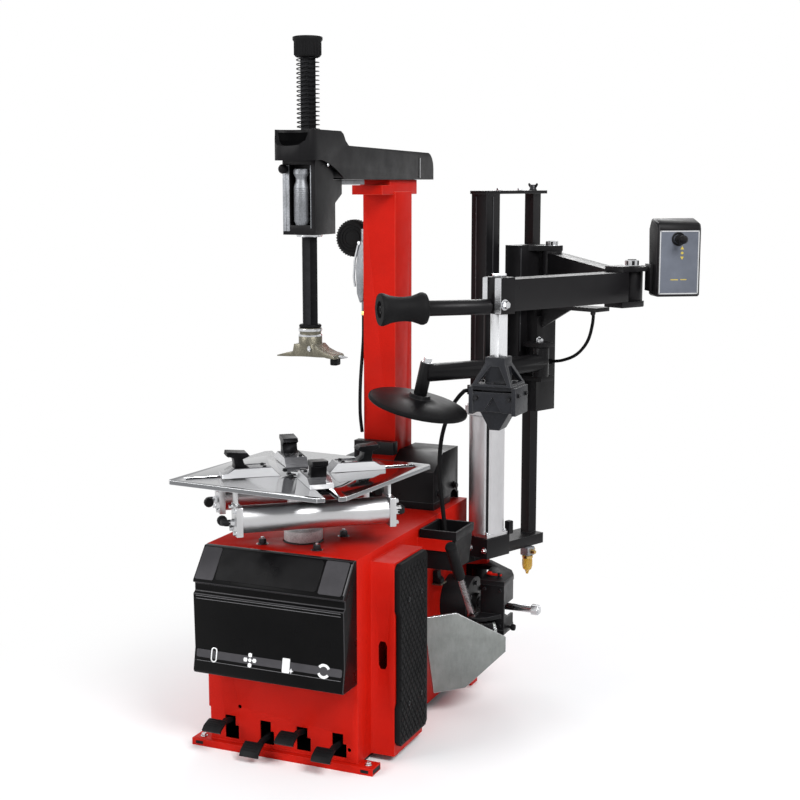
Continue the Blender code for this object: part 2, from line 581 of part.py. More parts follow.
# Arm: beam in the head, plastic cover, lock housing, lock cylinder and knob
BEAM_TOP = BEAM_LOW + ARM_BEAM
HOUSE_TOP = ARM_LOW + 0.012
HOUSE_CROWN = BEAM_TOP + 0.030
part("arm_beam", DARK,
     block(-ARM_BEAM / 2, ARM_BEAM / 2, SHAFT_Y + 0.052, COL_BACK + 0.130, BEAM_LOW, BEAM_TOP),
     bevel=0.003, smooth=False)
COVER_TOP = 1.735
COVER_SKIN = 0.006
MAIN_TOP = COVER_TOP - 0.042
NOSE_Y = SHAFT_Y - 0.115
NOSE_LOW = ARM_LOW + 0.046
NOSE_R = 0.046
SCOOP_R = 0.056
SCOOP_DEEP = 0.046
TAIL_Y = COL_BACK + 0.160
TAIL_R = 0.050
BELLY_Y = SHAFT_Y + 0.105
COVER_LOW = ARM_LOW - 0.004
belly = [(NOSE_Y, NOSE_LOW), (NOSE_Y + 0.075, NOSE_LOW + 0.002), (NOSE_Y + 0.115, NOSE_LOW - 0.006),
         (NOSE_Y + 0.160, NOSE_LOW - 0.022), (BELLY_Y, COVER_LOW)]
tail = [(TAIL_Y, COVER_LOW), *arc(TAIL_Y - TAIL_R, MAIN_TOP - TAIL_R - 0.006, TAIL_R, 0, 80, 4)]
hump = [(SHAFT_Y + 0.128, MAIN_TOP + 0.003), (SHAFT_Y + 0.108, MAIN_TOP + 0.016),
        (SHAFT_Y + 0.094, COVER_TOP - 0.008), (SHAFT_Y + 0.078, COVER_TOP), (NOSE_Y + 0.014, COVER_TOP),
        (NOSE_Y + 0.004, COVER_TOP - 0.004), (NOSE_Y, COVER_TOP - 0.014)]
core = [(NOSE_Y + COVER_SKIN, NOSE_LOW - 0.08), (TAIL_Y - COVER_SKIN, NOSE_LOW - 0.08),
        *arc(TAIL_Y - TAIL_R, MAIN_TOP - TAIL_R - 0.006, TAIL_R - COVER_SKIN, 0, 80, 4),
        (SHAFT_Y + 0.124, MAIN_TOP + 0.003 - COVER_SKIN),
        (SHAFT_Y + 0.102, MAIN_TOP + 0.016 - COVER_SKIN), (SHAFT_Y + 0.074, COVER_TOP - COVER_SKIN),
        (NOSE_Y + 0.016, COVER_TOP - COVER_SKIN), (NOSE_Y + COVER_SKIN, COVER_TOP - 0.016)]


def corners(inset):
    """Cutters that round the cover's two front corners, seen from above."""
    solids = []
    for side in (-1, 1):
        edge = side * (COVER_HALF + 0.01)
        bow = arc(COVER_HALF - NOSE_R, NOSE_Y + NOSE_R, NOSE_R - inset, 0, -90, 6)
        outline = [(side * x, y) for x, y in bow] + [(side * bow[-1][0], NOSE_Y - 0.01),
                                                     (edge, NOSE_Y - 0.01), (edge, bow[0][1])]
        solids.append(prism('Z', outline, NOSE_LOW - 0.10, COVER_TOP + 0.02))
    return solids


def scoop(grow):
    """The hand scoop in the top of the nose; grow makes the larger one that keeps its wall."""
    profile = [(0, 0.07), (SCOOP_R + grow, 0.07), (SCOOP_R + grow, -0.012),
               (SCOOP_R - 0.006 + grow, -0.030 - grow), (SCOOP_R - 0.022 + grow, -0.042 - grow),
               (0, -SCOOP_DEEP - grow)]
    return lathe(profile, (-0.006, NOSE_Y + 0.010, COVER_TOP), 28)


hollow = carve(prism('X', core, -COVER_HALF + COVER_SKIN, COVER_HALF - COVER_SKIN),
               [*corners(COVER_SKIN), scoop(COVER_SKIN)])
part("arm_cover", PLASTIC, prism('X', belly + tail + hump, -COVER_HALF, COVER_HALF), [],
     [*corners(0.0), scoop(0.0), hollow,
      rod('Z', (0, SHAFT_Y), SPRING_R + 0.010, COVER_TOP - 0.05, COVER_TOP + 0.02, 28)],
     [block(-0.022, 0.022, y - 0.010, y + 0.010, BEAM_TOP + GAP,
            MAIN_TOP - 0.003) for y in (SHAFT_Y + 0.160, COL_BACK + 0.090)], smooth=False)
HOUSE_LOW = 1.452
HOUSE_HALF = 0.050
HOUSE_Y = SHAFT_Y - 0.060
WINDOW_LOW = HOUSE_LOW + 0.026
LOCK_TALL = 0.152
KNOB_Z = HOUSE_TOP + 0.012
house = [(HOUSE_Y, HOUSE_LOW), (SHAFT_Y + 0.062, HOUSE_LOW), (SHAFT_Y + 0.062, HOUSE_LOW + 0.085),
         (SHAFT_Y + 0.105, HOUSE_LOW + 0.110), (SHAFT_Y + 0.105, BEAM_LOW - GAP),
         (SHAFT_Y + 0.052 - GAP, BEAM_LOW - GAP), (SHAFT_Y + 0.052 - GAP, HOUSE_CROWN),
         (SHAFT_Y - 0.044, HOUSE_CROWN), (HOUSE_Y, HOUSE_CROWN - 0.018)]
part("lock_housing", BLACK, prism('X', house, -HOUSE_HALF, HOUSE_HALF), [],
     [rod('Z', (0, SHAFT_Y), SHAFT_R + RUN, HOUSE_LOW - 0.05, BEAM_TOP + 0.1, 24),
      block(-0.028, 0.034, SHAFT_Y - 0.10, SHAFT_Y - SHAFT_R - 0.004, WINDOW_LOW,
            WINDOW_LOW + LOCK_TALL + 0.012),
      block(-HOUSE_HALF - 0.01, -HOUSE_HALF + 0.010, SHAFT_Y - 0.036, SHAFT_Y + 0.2, HOUSE_LOW - 0.01,
            BEAM_LOW - 0.010), rod('Y', (-0.040, KNOB_Z), 0.0052, SHAFT_Y - 0.1, SHAFT_Y - 0.030, 16)],
     smooth=False)
part("lock_cylinder", GREY,
     lathe([(0, 0.0), (0.016, 0.0), (0.021, 0.010), (0.021, 0.104), (0.016, 0.120), (0.016, 0.128),
            (0.021, 0.137), (0.021, LOCK_TALL), (0, LOCK_TALL)],
           (0.003, SHAFT_Y - 0.050, WINDOW_LOW + GAP), 20))
part("lock_knob", PLASTIC,
     lathe([(0, -0.018), (0.005, -0.018), (0.005, 0.004), (0.012, 0.006), (0.013, 0.018), (0.009, 0.026),
            (0, 0.028)], (-0.040, HOUSE_Y - 0.001, KNOB_Z), 16,
           turn=Matrix.Rotation(math.radians(90), 4, 'X')))

# Tool shaft with cap, return spring, mounting head and insert
part("tool_shaft", DARK, hexagon('Z', (0, SHAFT_Y), SHAFT_R - GAP, TOOL_LOW, SHAFT_TOP),
     [lathe([(0, 0), (SHAFT_R + 0.005, 0), (SHAFT_R + 0.005, 0.010), (0, 0.010)],
            (0, SHAFT_Y, TOOL_LOW + 0.032 + GAP), 24)], smooth=False)
CAP_LOW = SHAFT_TOP + GAP
part("shaft_cap", PLASTIC,
     lathe([(0, 0), (0.032, 0), (0.036, 0.004), (0.037, 0.040), (0.041, 0.046), (0.041, 0.054),
            (0.034, 0.056), (0.030, 0.050), (0, 0.050)], (0, SHAFT_Y, CAP_LOW), 28))
SPRING_LOW = HOUSE_CROWN
SPRING_TALL = CAP_LOW - SPRING_LOW - SPRING_WIRE - 2 * GAP
curl = []
for i in range(SPRING_CURLS * 9 + 1):
    a = 2 * math.pi * i / 9
    curl.append((SPRING_R * math.cos(a), SHAFT_Y + SPRING_R * math.sin(a),
                 SPRING_LOW + SPRING_WIRE / 2 + GAP + SPRING_TALL * i / (SPRING_CURLS * 9)))
hose("return_spring", DARK, curl, SPRING_WIRE / 2, resolution=1)
least = min((Vector(curl[i]) - Vector(curl[i + 9])).length for i in range(len(curl) - 9)) - SPRING_WIRE
print("return_spring least gap between curls, mm:", round(least * 1000, 2))

# The head is a curved beak: its front outline pushed back, with a hollow front face
HUB_R = SHAFT_R + 0.010
BEAK_LOW = TOOL_LOW - 0.046
beak = [(-0.088, 0.001), (-0.060, 0.009), (-0.040, 0.012), (-0.036, 0.034), (0.030, 0.034),
        (0.044, 0.021), (0.066, 0.011), (0.086, 0.006), (0.092, -0.004), (0.068, -0.002), (0.060, 0.0),
        (-0.088, -0.002)]
beak_solid = carve(prism('Y', [(x, BEAK_LOW + z) for x, z in beak], SHAFT_Y - 0.034, SHAFT_Y + 0.032),
                   [rod('Z', (-0.006, SHAFT_Y - 0.150), 0.123, BEAK_LOW - 0.02, TOOL_LOW, 48)])
part("mount_head", STEEL,
     lathe([(0, -0.016), (HUB_R - 0.001, -0.016), (HUB_R - 0.001, 0.008), (HUB_R - 0.004, 0.012),
            (HUB_R - 0.004, 0.020), (HUB_R - 0.002, 0.024), (HUB_R - 0.002, 0.032), (0, 0.032)],
           (0, SHAFT_Y, TOOL_LOW), 24), [beak_solid],
     [hexagon('Z', (0, SHAFT_Y), SHAFT_R, TOOL_LOW - GAP, TOOL_LOW + 0.1)], smooth=False)
part("mount_insert", PLASTIC,
     block(0.066, 0.088, SHAFT_Y - 0.014, SHAFT_Y + 0.014, BEAK_LOW - 0.024, BEAK_LOW - 0.004 - GAP),
     bevel=0.003, smooth=False)

# Turntable: plate with four diagonal channels and raised polished lands, on the spindle
TABLE_LOW = TABLE_TOP - TABLE_THICK
tip = TABLE_TIP
plate = [(tip - 0.006, -0.006), (tip - 0.006, 0.006), (0.040, tip - 0.040), (-0.040, tip - 0.040),
         (-tip + 0.006, 0.006), (-tip + 0.006, -0.006), (-0.040, -tip + 0.040), (0.040, -tip + 0.040)]
SLOT_IN = 0.088
SLOT_OUT = 0.330
SLOT_HALF = SLOT_WIDE / 2
slots = []
for sx in (-1, 1):
    slots.append(block(min(sx * SLOT_IN, sx * SLOT_OUT), max(sx * SLOT_IN, sx * SLOT_OUT), -SLOT_HALF,
                       SLOT_HALF, TABLE_LOW - 0.01, TABLE_TOP + 0.01, TABLE))
    slots.append(block(-SLOT_HALF, SLOT_HALF, min(sx * SLOT_IN, sx * 0.4), max(sx * SLOT_IN, sx * 0.4),
                       TABLE_LOW - 0.01, TABLE_TOP + 0.01, TABLE))
part("turntable_plate", STEEL, prism('Z', plate, TABLE_LOW, TABLE_TOP, TABLE), [], slots, smooth=False)
part("spindle", GREY,
     lathe([(0, -0.120), (0.026, -0.120), (0.026, 0.0), (SPINDLE_R + 0.011, 0.0),
            (SPINDLE_R + 0.011, 0.030), (SPINDLE_R, 0.036), (SPINDLE_R, 0.120), (0.074, 0.136),
            (0.074, TABLE_LOW - CAB_TOP - 0.0045), (0, TABLE_LOW - CAB_TOP - 0.0045)],
           (0, 0, CAB_TOP + 0.0042), 32, TABLE))

# Jaws: a slide through each channel with a claw on top
for index in range(4):
    turn = Matrix.Rotation(math.radians(90 * index), 4, 'Z')
    flange = block(JAW_REST - 0.045, JAW_REST + 0.045, -0.034, 0.034, TABLE_LOW - 0.010, TABLE_LOW - GAP,
                   TABLE)
    neck = block(JAW_REST - 0.034, JAW_REST + 0.034, -SLOT_HALF + RUN, SLOT_HALF - RUN, TABLE_LOW - 0.004,
                 TABLE_TOP + 0.004, TABLE)
    saddle = prism('Z',
                   [(JAW_REST - 0.072, 0.0), (JAW_REST - 0.044, -0.032), (JAW_REST + 0.044, -0.032),
                    (JAW_REST + 0.066, -0.010), (JAW_REST + 0.066, 0.010), (JAW_REST + 0.044, 0.032),
                    (JAW_REST - 0.044, 0.032)], TABLE_TOP + GAP, TABLE_TOP + 0.012, TABLE)
    claw = prism('Y', [(JAW_REST - 0.030, TABLE_TOP + 0.010), (JAW_REST + 0.036, TABLE_TOP + 0.010),
                       (JAW_REST + 0.030, TABLE_TOP + 0.034),
                       (JAW_REST + 0.034, TABLE_TOP + JAW_TALL - 0.018),
                       (JAW_REST + 0.052, TABLE_TOP + JAW_TALL - 0.012),
                       (JAW_REST + 0.050, TABLE_TOP + JAW_TALL),
                       (JAW_REST - 0.004, TABLE_TOP + JAW_TALL - 0.004),
                       (JAW_REST - 0.012, TABLE_TOP + JAW_TALL - 0.014),
                       (JAW_REST + 0.008, TABLE_TOP + JAW_TALL - 0.022),
                       (JAW_REST + 0.004, TABLE_TOP + 0.036)], -0.022, 0.022, TABLE)
    for solid in (flange, neck, saddle, claw):
        solid.data.transform(turn)
    part("jaw_%d" % (index + 1), DARK, flange, [neck, saddle, claw], smooth=False)

# Clamp cylinders hang under the plate on both sides of the spindle
CLAMP_Z = TABLE_TOP - 0.090
for name, sy in (("clamp_cylinder_near", -1), ("clamp_cylinder_far", 1)):
    cy = sy * CLAMP_OFF
    caps = []
    for sx in (-1, 1):
        xa, xb = sorted((sx * (CLAMP_HALF - 0.002), sx * (CLAMP_HALF + 0.016)))
        caps.append(block(xa, xb, cy - 0.040, cy + 0.040, CLAMP_Z - 0.040, CLAMP_Z + 0.040, TABLE))
        xa, xb = sorted((sx * (CLAMP_HALF + 0.004), sx * (CLAMP_HALF + 0.012)))
        inner = cy - sy * 0.040
        caps.append(block(xa, xb, min(cy, inner), max(cy, inner), CLAMP_Z, TABLE_LOW - GAP, TABLE))
    caps.append(rod('X', (cy, CLAMP_Z), 0.010, CLAMP_HALF + 0.010, CLAMP_HALF + 0.040, 12, TABLE))
    part(name, ALU, rod('X', (cy, CLAMP_Z), CLAMP_R, -CLAMP_HALF, CLAMP_HALF, 32, TABLE), caps,
         smooth=False)

# Drive inside the cabinet: gearbox, motor, pulleys and belt
GB_TOP = CAB_TOP - WALL - GAP
GB_LOW = GB_TOP - 0.130
GEAR_Z = GB_LOW + 0.045
MOTOR_Z = 0.240
BELT_X0, BELT_X1 = -0.164, -0.140
part("gearbox", IRON, block(-0.105, 0.105, -0.105, 0.105, GB_LOW, GB_TOP), [],
     [rod('Z', (0, 0), 0.026 + RUN, GB_LOW + 0.002, GB_TOP + 0.02, 24),
      rod('X', (0.05, GEAR_Z), 0.0102, -0.2, -0.060, 16),
      block(-0.090, 0.090, -0.090, 0.090, GB_LOW + 0.015, GB_TOP - 0.030)], bevel=0.010, smooth=False)
part("motor", GREY, rod('X', (0.05, MOTOR_Z), 0.066, -0.090, 0.110, 28),
     [block(-0.060, 0.080, 0.0, 0.1, MOTOR_Z + 0.030, GB_LOW - GAP)],
     [rod('X', (0.05, MOTOR_Z), 0.0082, -0.2, -0.050, 16)], smooth=False)


def pulley(r, bore, z, deep):
    mid = (BELT_X0 + BELT_X1) / 2
    return lathe([(0, -deep), (bore, -deep), (bore, -0.015), (r, -0.015), (r, -0.011),
                  (r - 0.008, -0.005), (r - 0.008, 0.005), (r, 0.011), (r, 0.015), (0, 0.015)],
                 (mid, 0.05, z), 28, turn=Matrix.Rotation(math.radians(-90), 4, 'Y'))


GEAR_R, DRIVE_R = 0.078, 0.040
part("gear_pulley", IRON, pulley(GEAR_R, 0.010, GEAR_Z, 0.085))
part("motor_pulley", DARK, pulley(DRIVE_R, 0.008, MOTOR_Z, 0.090))


def loop(r1, z1, r2, z2, n=16):
    """Outline of a belt round two wheels one above the other, in (y, z)."""
    lean = math.asin((r1 - r2) / (z1 - z2))
    out = []
    for i in range(n + 1):
        a = -lean + (math.pi + 2 * lean) * i / n
        out.append((0.05 + r1 * math.cos(a), z1 + r1 * math.sin(a)))
    for i in range(n + 1):
        a = math.pi + lean + (math.pi - 2 * lean) * i / n
        out.append((0.05 + r2 * math.cos(a), z2 + r2 * math.sin(a)))
    return out


BELT_MID = (BELT_X0 + BELT_X1) / 2
part("drive_belt", RUBBER,
     prism('X', loop(GEAR_R - 0.001, GEAR_Z, DRIVE_R - 0.001, MOTOR_Z), BELT_MID - 0.004,
           BELT_MID + 0.004),
     cut=[prism('X', loop(GEAR_R - 0.0072, GEAR_Z, DRIVE_R - 0.0072, MOTOR_Z), BELT_MID - 0.02,
                BELT_MID + 0.02)], smooth=False)

# Pedals on the axle, each reaching out through its slot
for index, (px, drop) in enumerate(zip(PEDAL_X, PEDAL_DROP)):
    reach = CAB_FRONT - AXLE_Y
    lever = prism('X',
                  [(reach - 0.052, -0.003), (reach + 0.020, -0.009), (0.020, -0.012), (0.020, 0.014),
                   (reach + 0.018, 0.003), (reach - 0.026, 0.013), (reach - 0.054, 0.005)], px - 0.004,
                  px + 0.004)
    pad = prism('X', [(reach - 0.082, -0.012), (reach - 0.076, -0.002), (reach - 0.050, 0.008),
                      (reach - 0.024, 0.011), (reach - 0.014, 0.022), (reach - 0.018, 0.026),
                      (reach - 0.030, 0.019), (reach - 0.052, 0.014), (reach - 0.078, 0.005),
                      (reach - 0.088, -0.006)], px - 0.012 - PEDAL_WIDE / 2, px - 0.012 + PEDAL_WIDE / 2)
    boss = rod('X', (0, 0), AXLE_R + 0.007, px - 0.014, px + 0.014, 20)
    bore = rod('X', (0, 0), AXLE_R + GAP, px - 0.02, px + 0.02, 20)
    for solid in (lever, pad, boss, bore):
        solid.data.transform(Matrix.Rotation(math.radians(drop), 4, 'X'))
        solid.data.transform(Matrix.Translation((0, AXLE_Y, AXLE_Z)))
    part("pedal_%d" % (index + 1), PLASTIC, lever, [pad, boss], [bore], smooth=False,
         at=(px, AXLE_Y, AXLE_Z))

# Bead breaker: cylinder, rod, swing arm, blade and pull lever
BC_OUT = CAB_HALF + 0.085
part("bead_cylinder", BLACK, rod('X', (BREAK_Y, BREAK_Z), BREAK_R, -0.020, BC_OUT, 32),
     [rod('X', (BREAK_Y, BREAK_Z), 0.030, BC_OUT - 0.01, BC_OUT + 0.016, 24)],
     [rod('X', (BREAK_Y, BREAK_Z), 0.0110 + GAP, 0.0, BC_OUT + 0.05, 20),
      rod('X', (BREAK_Y, BREAK_Z), BREAK_R - 0.006, -0.012, BC_OUT - 0.014, 32)], smooth=False)
ROD_END = 0.530
part("breaker_rod", STEEL, rod('X', (BREAK_Y, BREAK_Z), 0.0110, 0.110, ROD_END, 20),
     [hexagon('X', (BREAK_Y, BREAK_Z), 0.017, ROD_END - 0.026, ROD_END - 0.004)], smooth=False)
arm_plan = [(SWING_X - 0.022, SWING_Y + 0.030), (SWING_X + 0.026, SWING_Y + 0.038),
            (0.416, SWING_Y - 0.050), (0.440, SWING_Y - 0.100), (0.440, BREAK_Y - 0.074),
            (0.362, BREAK_Y - 0.074), (0.356, BREAK_Y - 0.020), (0.344, SWING_Y - 0.032),
            (SWING_X - 0.022, SWING_Y - 0.030)]
TONGUE_Z = 0.282
LEVER_FOOT = (0.356, BREAK_Y - 0.128, TONGUE_Z + 0.012 + GAP)
LEVER_TOP = (0.374, 0.190, 0.562)
PIN_U, PIN_V, PIN_Z = 0.205, 0.030, 0.262
knuckle = block(PIN_U - 0.014, PIN_U + 0.014, PIN_V - 0.014, PIN_V + 0.060, PIN_Z - 0.014, PIN_Z + 0.014,
                BLADE)
part("breaker_arm", BLACK, prism('Z', arm_plan, ARM_Z0, ARM_Z0 + 0.014),
     [prism('Z', arm_plan, ARM_Z1 - 0.014, ARM_Z1),
      rod('Z', (SWING_X, SWING_Y), 0.024, ARM_Z0 + LAP, ARM_Z1 - LAP, 24),
      block(0.363, 0.439, BREAK_Y - 0.073, BREAK_Y - 0.064, ARM_Z0 + LAP, ARM_Z1 - LAP),
      block(0.431, 0.439, BREAK_Y - 0.072, SWING_Y - 0.102, BREAK_Z + 0.022, ARM_Z1 - LAP),
      block(0.431, 0.439, BREAK_Y - 0.072, SWING_Y - 0.102, ARM_Z0 + LAP, BREAK_Z - 0.022),
      prism('Z', [(0.366, BREAK_Y - 0.070), (0.432, BREAK_Y - 0.070), (0.398, BREAK_Y - 0.122),
                  (0.350, BREAK_Y - 0.146), (0.344, BREAK_Y - 0.130)], TONGUE_Z, TONGUE_Z + 0.012),
      knuckle, rod('X', (PIN_V, PIN_Z), 0.008, PIN_U - 0.026, PIN_U + 0.026, 16, BLADE)],
     [rod('Z', (SWING_X, SWING_Y), 0.012 + GAP, ARM_Z0 - 0.02, ARM_Z1 + 0.02, 20)], smooth=False,
     at=(SWING_X, SWING_Y, BREAK_Z))
blade_face = [(0.0, 0.300), (0.0, 0.314), (0.100, 0.322), (0.255, 0.236), (0.255, 0.190), (0.128, 0.086),
              (0.030, 0.078)]
lugs = []
for su in (-1, 1):
    ua, ub = sorted((PIN_U + su * (0.014 + RUN), PIN_U + su * 0.024))
    lugs.append(block(ua, ub, BLADE_THICK - LAP, PIN_V + 0.014, PIN_Z - 0.040, PIN_Z + 0.0, BLADE))
    lugs.append(rod('X', (PIN_V, PIN_Z), 0.014, ua, ub, 20, BLADE))
part("breaker_blade", STEEL, prism('Y', blade_face, 0.0, BLADE_THICK, BLADE), lugs,
     [rod('X', (PIN_V, PIN_Z), 0.008 + GAP, PIN_U - 0.04, PIN_U + 0.04, 16, BLADE)], smooth=False,
     at=(PIN_U, PIN_V, PIN_Z))
part("breaker_lever", STEEL,
     block(LEVER_FOOT[0] - 0.012, LEVER_FOOT[0] + 0.012, LEVER_FOOT[1] - 0.006, LEVER_FOOT[1] + 0.026,
           LEVER_FOOT[2], LEVER_FOOT[2] + 0.008),
     [bar((LEVER_FOOT[0], LEVER_FOOT[1], LEVER_FOOT[2] + 0.006), LEVER_TOP, 0.018, 0.008),
      stick(Vector(LEVER_FOOT).lerp(Vector(LEVER_TOP), 0.60),
            Vector(LEVER_FOOT).lerp(Vector(LEVER_TOP), 1.03), 0.015, 14)], smooth=False)

# Assist arm stand: beam, pillar, post, top plate and cabinet bracket
PILLAR_HALF, POST_HALF = PILLAR / 2, POST / 2
TUBE = 0.005
LIFT_X, LIFT_Y = 0.088, -0.083
LIFT_TOP = 0.912
LIFT_LOW = BEAM_Z + 0.060
CLIP_Z = 0.950
part("stand_post", BLACK,
     block(-PILLAR_HALF, PILLAR_HALF, -PILLAR_HALF, PILLAR_HALF, BEAM_Z - LAP, STAND_TOP, STAND),
     [block(-0.046, 0.046, -0.135, POST_OFF + 0.022, BEAM_Z - BEAM_TALL, BEAM_Z, STAND),
      block(0.0, LIFT_X + 0.052, LIFT_Y - 0.052, LIFT_Y + 0.052, BEAM_Z - LAP, LIFT_LOW, STAND),
      block(-POST_HALF, POST_HALF, POST_OFF - POST_HALF, POST_OFF + POST_HALF, BEAM_Z - LAP, STAND_TOP,
            STAND), block(-PILLAR_HALF - 0.003, PILLAR_HALF + 0.003, -PILLAR_HALF - 0.004,
                          POST_OFF + 0.030, STAND_TOP - LAP, STAND_TOP + 0.008, STAND),
      block(-0.022, -0.002, -0.055, -PILLAR_HALF + LAP, CLIP_Z - 0.015, CLIP_Z + 0.015, STAND),
      block(CAB_HALF + GAP, STAND_X + 0.010, STAND_Y - 0.100, CAB_BACK - 0.006, BEAM_Z - BEAM_TALL + LAP,
            BEAM_Z - 0.004)],
     [block(-CAB_HALF, CAB_HALF + GAP, CAB_FRONT, CAB_BACK + 0.1, CAB_LOW, CAB_TOP),
      block(-PILLAR_HALF + TUBE, PILLAR_HALF - TUBE, -PILLAR_HALF + TUBE, PILLAR_HALF - TUBE,
            BEAM_Z - 0.1, STAND_TOP - LAP, STAND),
      block(-POST_HALF + TUBE, POST_HALF - TUBE, POST_OFF - POST_HALF + TUBE, POST_OFF + POST_HALF - TUBE,
            BEAM_Z - 0.1, STAND_TOP - LAP, STAND)], smooth=False)
lift = [(0.046, -0.030), (0.046, 0.030), (0.030, 0.046), (-0.030, 0.046), (-0.046, 0.030),
        (-0.046, -0.030), (-0.030, -0.046), (0.030, -0.046)]
part("lift_cylinder", ALU,
     prism('Z', [(LIFT_X + a, LIFT_Y + b) for a, b in lift], LIFT_LOW + GAP, LIFT_TOP, STAND),
     [block(LIFT_X - 0.048, LIFT_X + 0.048, LIFT_Y - 0.048, LIFT_Y + 0.048, LIFT_TOP - 0.024,
            LIFT_TOP + 0.004, STAND),
      block(LIFT_X - 0.048, LIFT_X + 0.048, LIFT_Y - 0.048, LIFT_Y + 0.048, LIFT_LOW + GAP,
            LIFT_LOW + 0.012, STAND)],
     [rod('Z', (LIFT_X, LIFT_Y), 0.0125 + GAP, LIFT_LOW + 0.040, LIFT_TOP + 0.02, 20, STAND)],
     smooth=False)

# Carriage on the post with the lift rod and the first arm's pivot
LINK_TOP, LINK_LOW = LINK_Z + LINK_TALL / 2, LINK_Z - LINK_TALL / 2
PIVOT_A = Matrix.Rotation(math.radians(-STAND_TURN), 4,
                          'Z') @ Vector((LINK_A[0] - STAND_X, LINK_A[1] - STAND_Y, 0))
CARR_LOW, CARR_TOP = 0.880, LINK_Z + 0.100
LUG_LIFT = 1.200
SIDE_TOP = 1.180
PLATE_Z = LINK_LOW - RUN - 0.036
PLATE_END = 0.370
KNEE = (0.158, 0.085)
ARM_LEVEL = DISC_AT[2] + 0.096
LUG_TOP = LINK_TOP + LINK_RISE
FACE = 0.060
SIDE_X, SIDE_Y = 0.130, 0.100
SLEEVE = POST_HALF + RUN
part("carriage", BLACK, block(0.030, 0.088, FACE, 0.190, CARR_LOW, CARR_TOP, STAND),
     [block(-SLEEVE - 0.012, 0.060, POST_OFF - SLEEVE - 0.030, POST_OFF + SLEEVE + 0.012, 0.940, 1.040,
            STAND), block(-SLEEVE - 0.012, 0.060, POST_OFF - SLEEVE - 0.030, POST_OFF + SLEEVE + 0.012,
                          1.280, 1.390, STAND),
      block(LIFT_X - 0.024, LIFT_X + 0.024, LIFT_Y - 0.024, 0.080, LUG_LIFT, LUG_LIFT + 0.020, STAND),
      rod('Z', (LIFT_X, LIFT_Y), 0.0125, 0.800, LUG_LIFT + LAP, 20, STAND),
      prism('Z', [(0.076, 0.090), (PIVOT_A.x - 0.010, PIVOT_A.y - 0.036),
                  (PIVOT_A.x + 0.030, PIVOT_A.y - 0.020), (PIVOT_A.x + 0.034, PIVOT_A.y + 0.012),
                  (PIVOT_A.x + 0.010, PIVOT_A.y + 0.034), (0.076, 0.186)], LUG_TOP + RUN,
            LUG_TOP + RUN + 0.016, STAND),
      prism('Z', [(0.076, 0.090), (PIVOT_A.x - 0.010, PIVOT_A.y - 0.036),
                  (PIVOT_A.x + 0.030, PIVOT_A.y - 0.020), (PIVOT_A.x + 0.034, PIVOT_A.y + 0.012),
                  (PIVOT_A.x + 0.010, PIVOT_A.y + 0.034), (0.076, 0.186)], LINK_LOW - RUN - 0.016,
            LINK_LOW - RUN, STAND),
      rod('Z', (PIVOT_A.x, PIVOT_A.y), 0.0125, LINK_LOW - RUN - 0.010, LUG_TOP + RUN + 0.030, 20, STAND),
      hexagon('Z', (PIVOT_A.x, PIVOT_A.y), 0.020, LUG_TOP + RUN + 0.014, LUG_TOP + RUN + 0.028, STAND),
      block(SIDE_X - 0.030, KNEE[0] + 0.018, KNEE[1] - 0.018, SIDE_Y + 0.030, ARM_LEVEL + 0.046,
            ARM_LEVEL + 0.060, STAND),
      block(SIDE_X - 0.030, KNEE[0] + 0.018, KNEE[1] - 0.018, SIDE_Y + 0.030, ARM_LEVEL - 0.060,
            ARM_LEVEL - 0.046, STAND),
      rod('Z', KNEE, 0.011, ARM_LEVEL - 0.056, ARM_LEVEL + 0.056, 20, STAND),
      block(0.080, SIDE_X, SIDE_Y, 0.190, CARR_LOW, SIDE_TOP, STAND),
      block(0.110, PLATE_END, 0.084, 0.150, PLATE_Z - 0.012, PLATE_Z, STAND),
      block(0.080, 0.124, SIDE_Y, 0.150, SIDE_TOP - LAP, PLATE_Z - 0.006, STAND),
      prism('Y', [(0.126, PLATE_Z - 0.010), (0.252, PLATE_Z - 0.010), (0.126, PLATE_Z - 0.080)], 0.122,
            0.130, STAND)], [block(-SLEEVE, SLEEVE, POST_OFF - SLEEVE, POST_OFF + SLEEVE, CARR_LOW - 0.1,
                                   CARR_TOP + 0.1, STAND)], smooth=False)

# Two swinging links of the assist arm
CTRL_AT = (0.912, 0.538, LINK_Z + 0.085)
CTRL_TURN = 32.0
CTRL = frame("control_frame", CTRL_AT, CTRL_TURN, under=BASE)
CTRL_HALF = 0.064
LINK_HALF = LINK_TALL / 2
inner_side = [(0.020, -LINK_HALF + 0.006), (INNER_LONG - 0.020, -LINK_HALF + 0.006),
              (INNER_LONG - 0.020, LINK_HALF - 0.006), (0.020, LINK_HALF + LINK_RISE - 0.006)]
part("inner_arm", BLACK, prism('Y', inner_side, -0.028, 0.028, INNER),
     [rod('Z', (0, 0), 0.032, -LINK_HALF, LINK_HALF + LINK_RISE, 24, INNER),
      rod('Z', (INNER_LONG, 0), 0.032, -LINK_HALF, LINK_HALF, 24, INNER)],
     [rod('Z', (0, 0), 0.0125 + GAP, -0.1, 0.1, 20, INNER),
      rod('Z', (INNER_LONG, 0), 0.0125 + GAP, -0.1, 0.1, 20, INNER)], smooth=False)
fork = [(-0.026, -0.026), (-0.026, 0.026), (-0.010, 0.036), (0.076, 0.034), (0.076, -0.034),
        (-0.010, -0.036)]
END = OUTER_LONG
ROLLER_DROP = -0.030
roller_dir = Matrix.Rotation(math.radians(-OUTER_TURN), 4, 'Z') @ Vector((-0.76, -0.65, 0))
ROLLER_ROOT = Vector((END, 0, ROLLER_DROP))
ROLLER_TIP = ROLLER_ROOT + roller_dir * 0.320
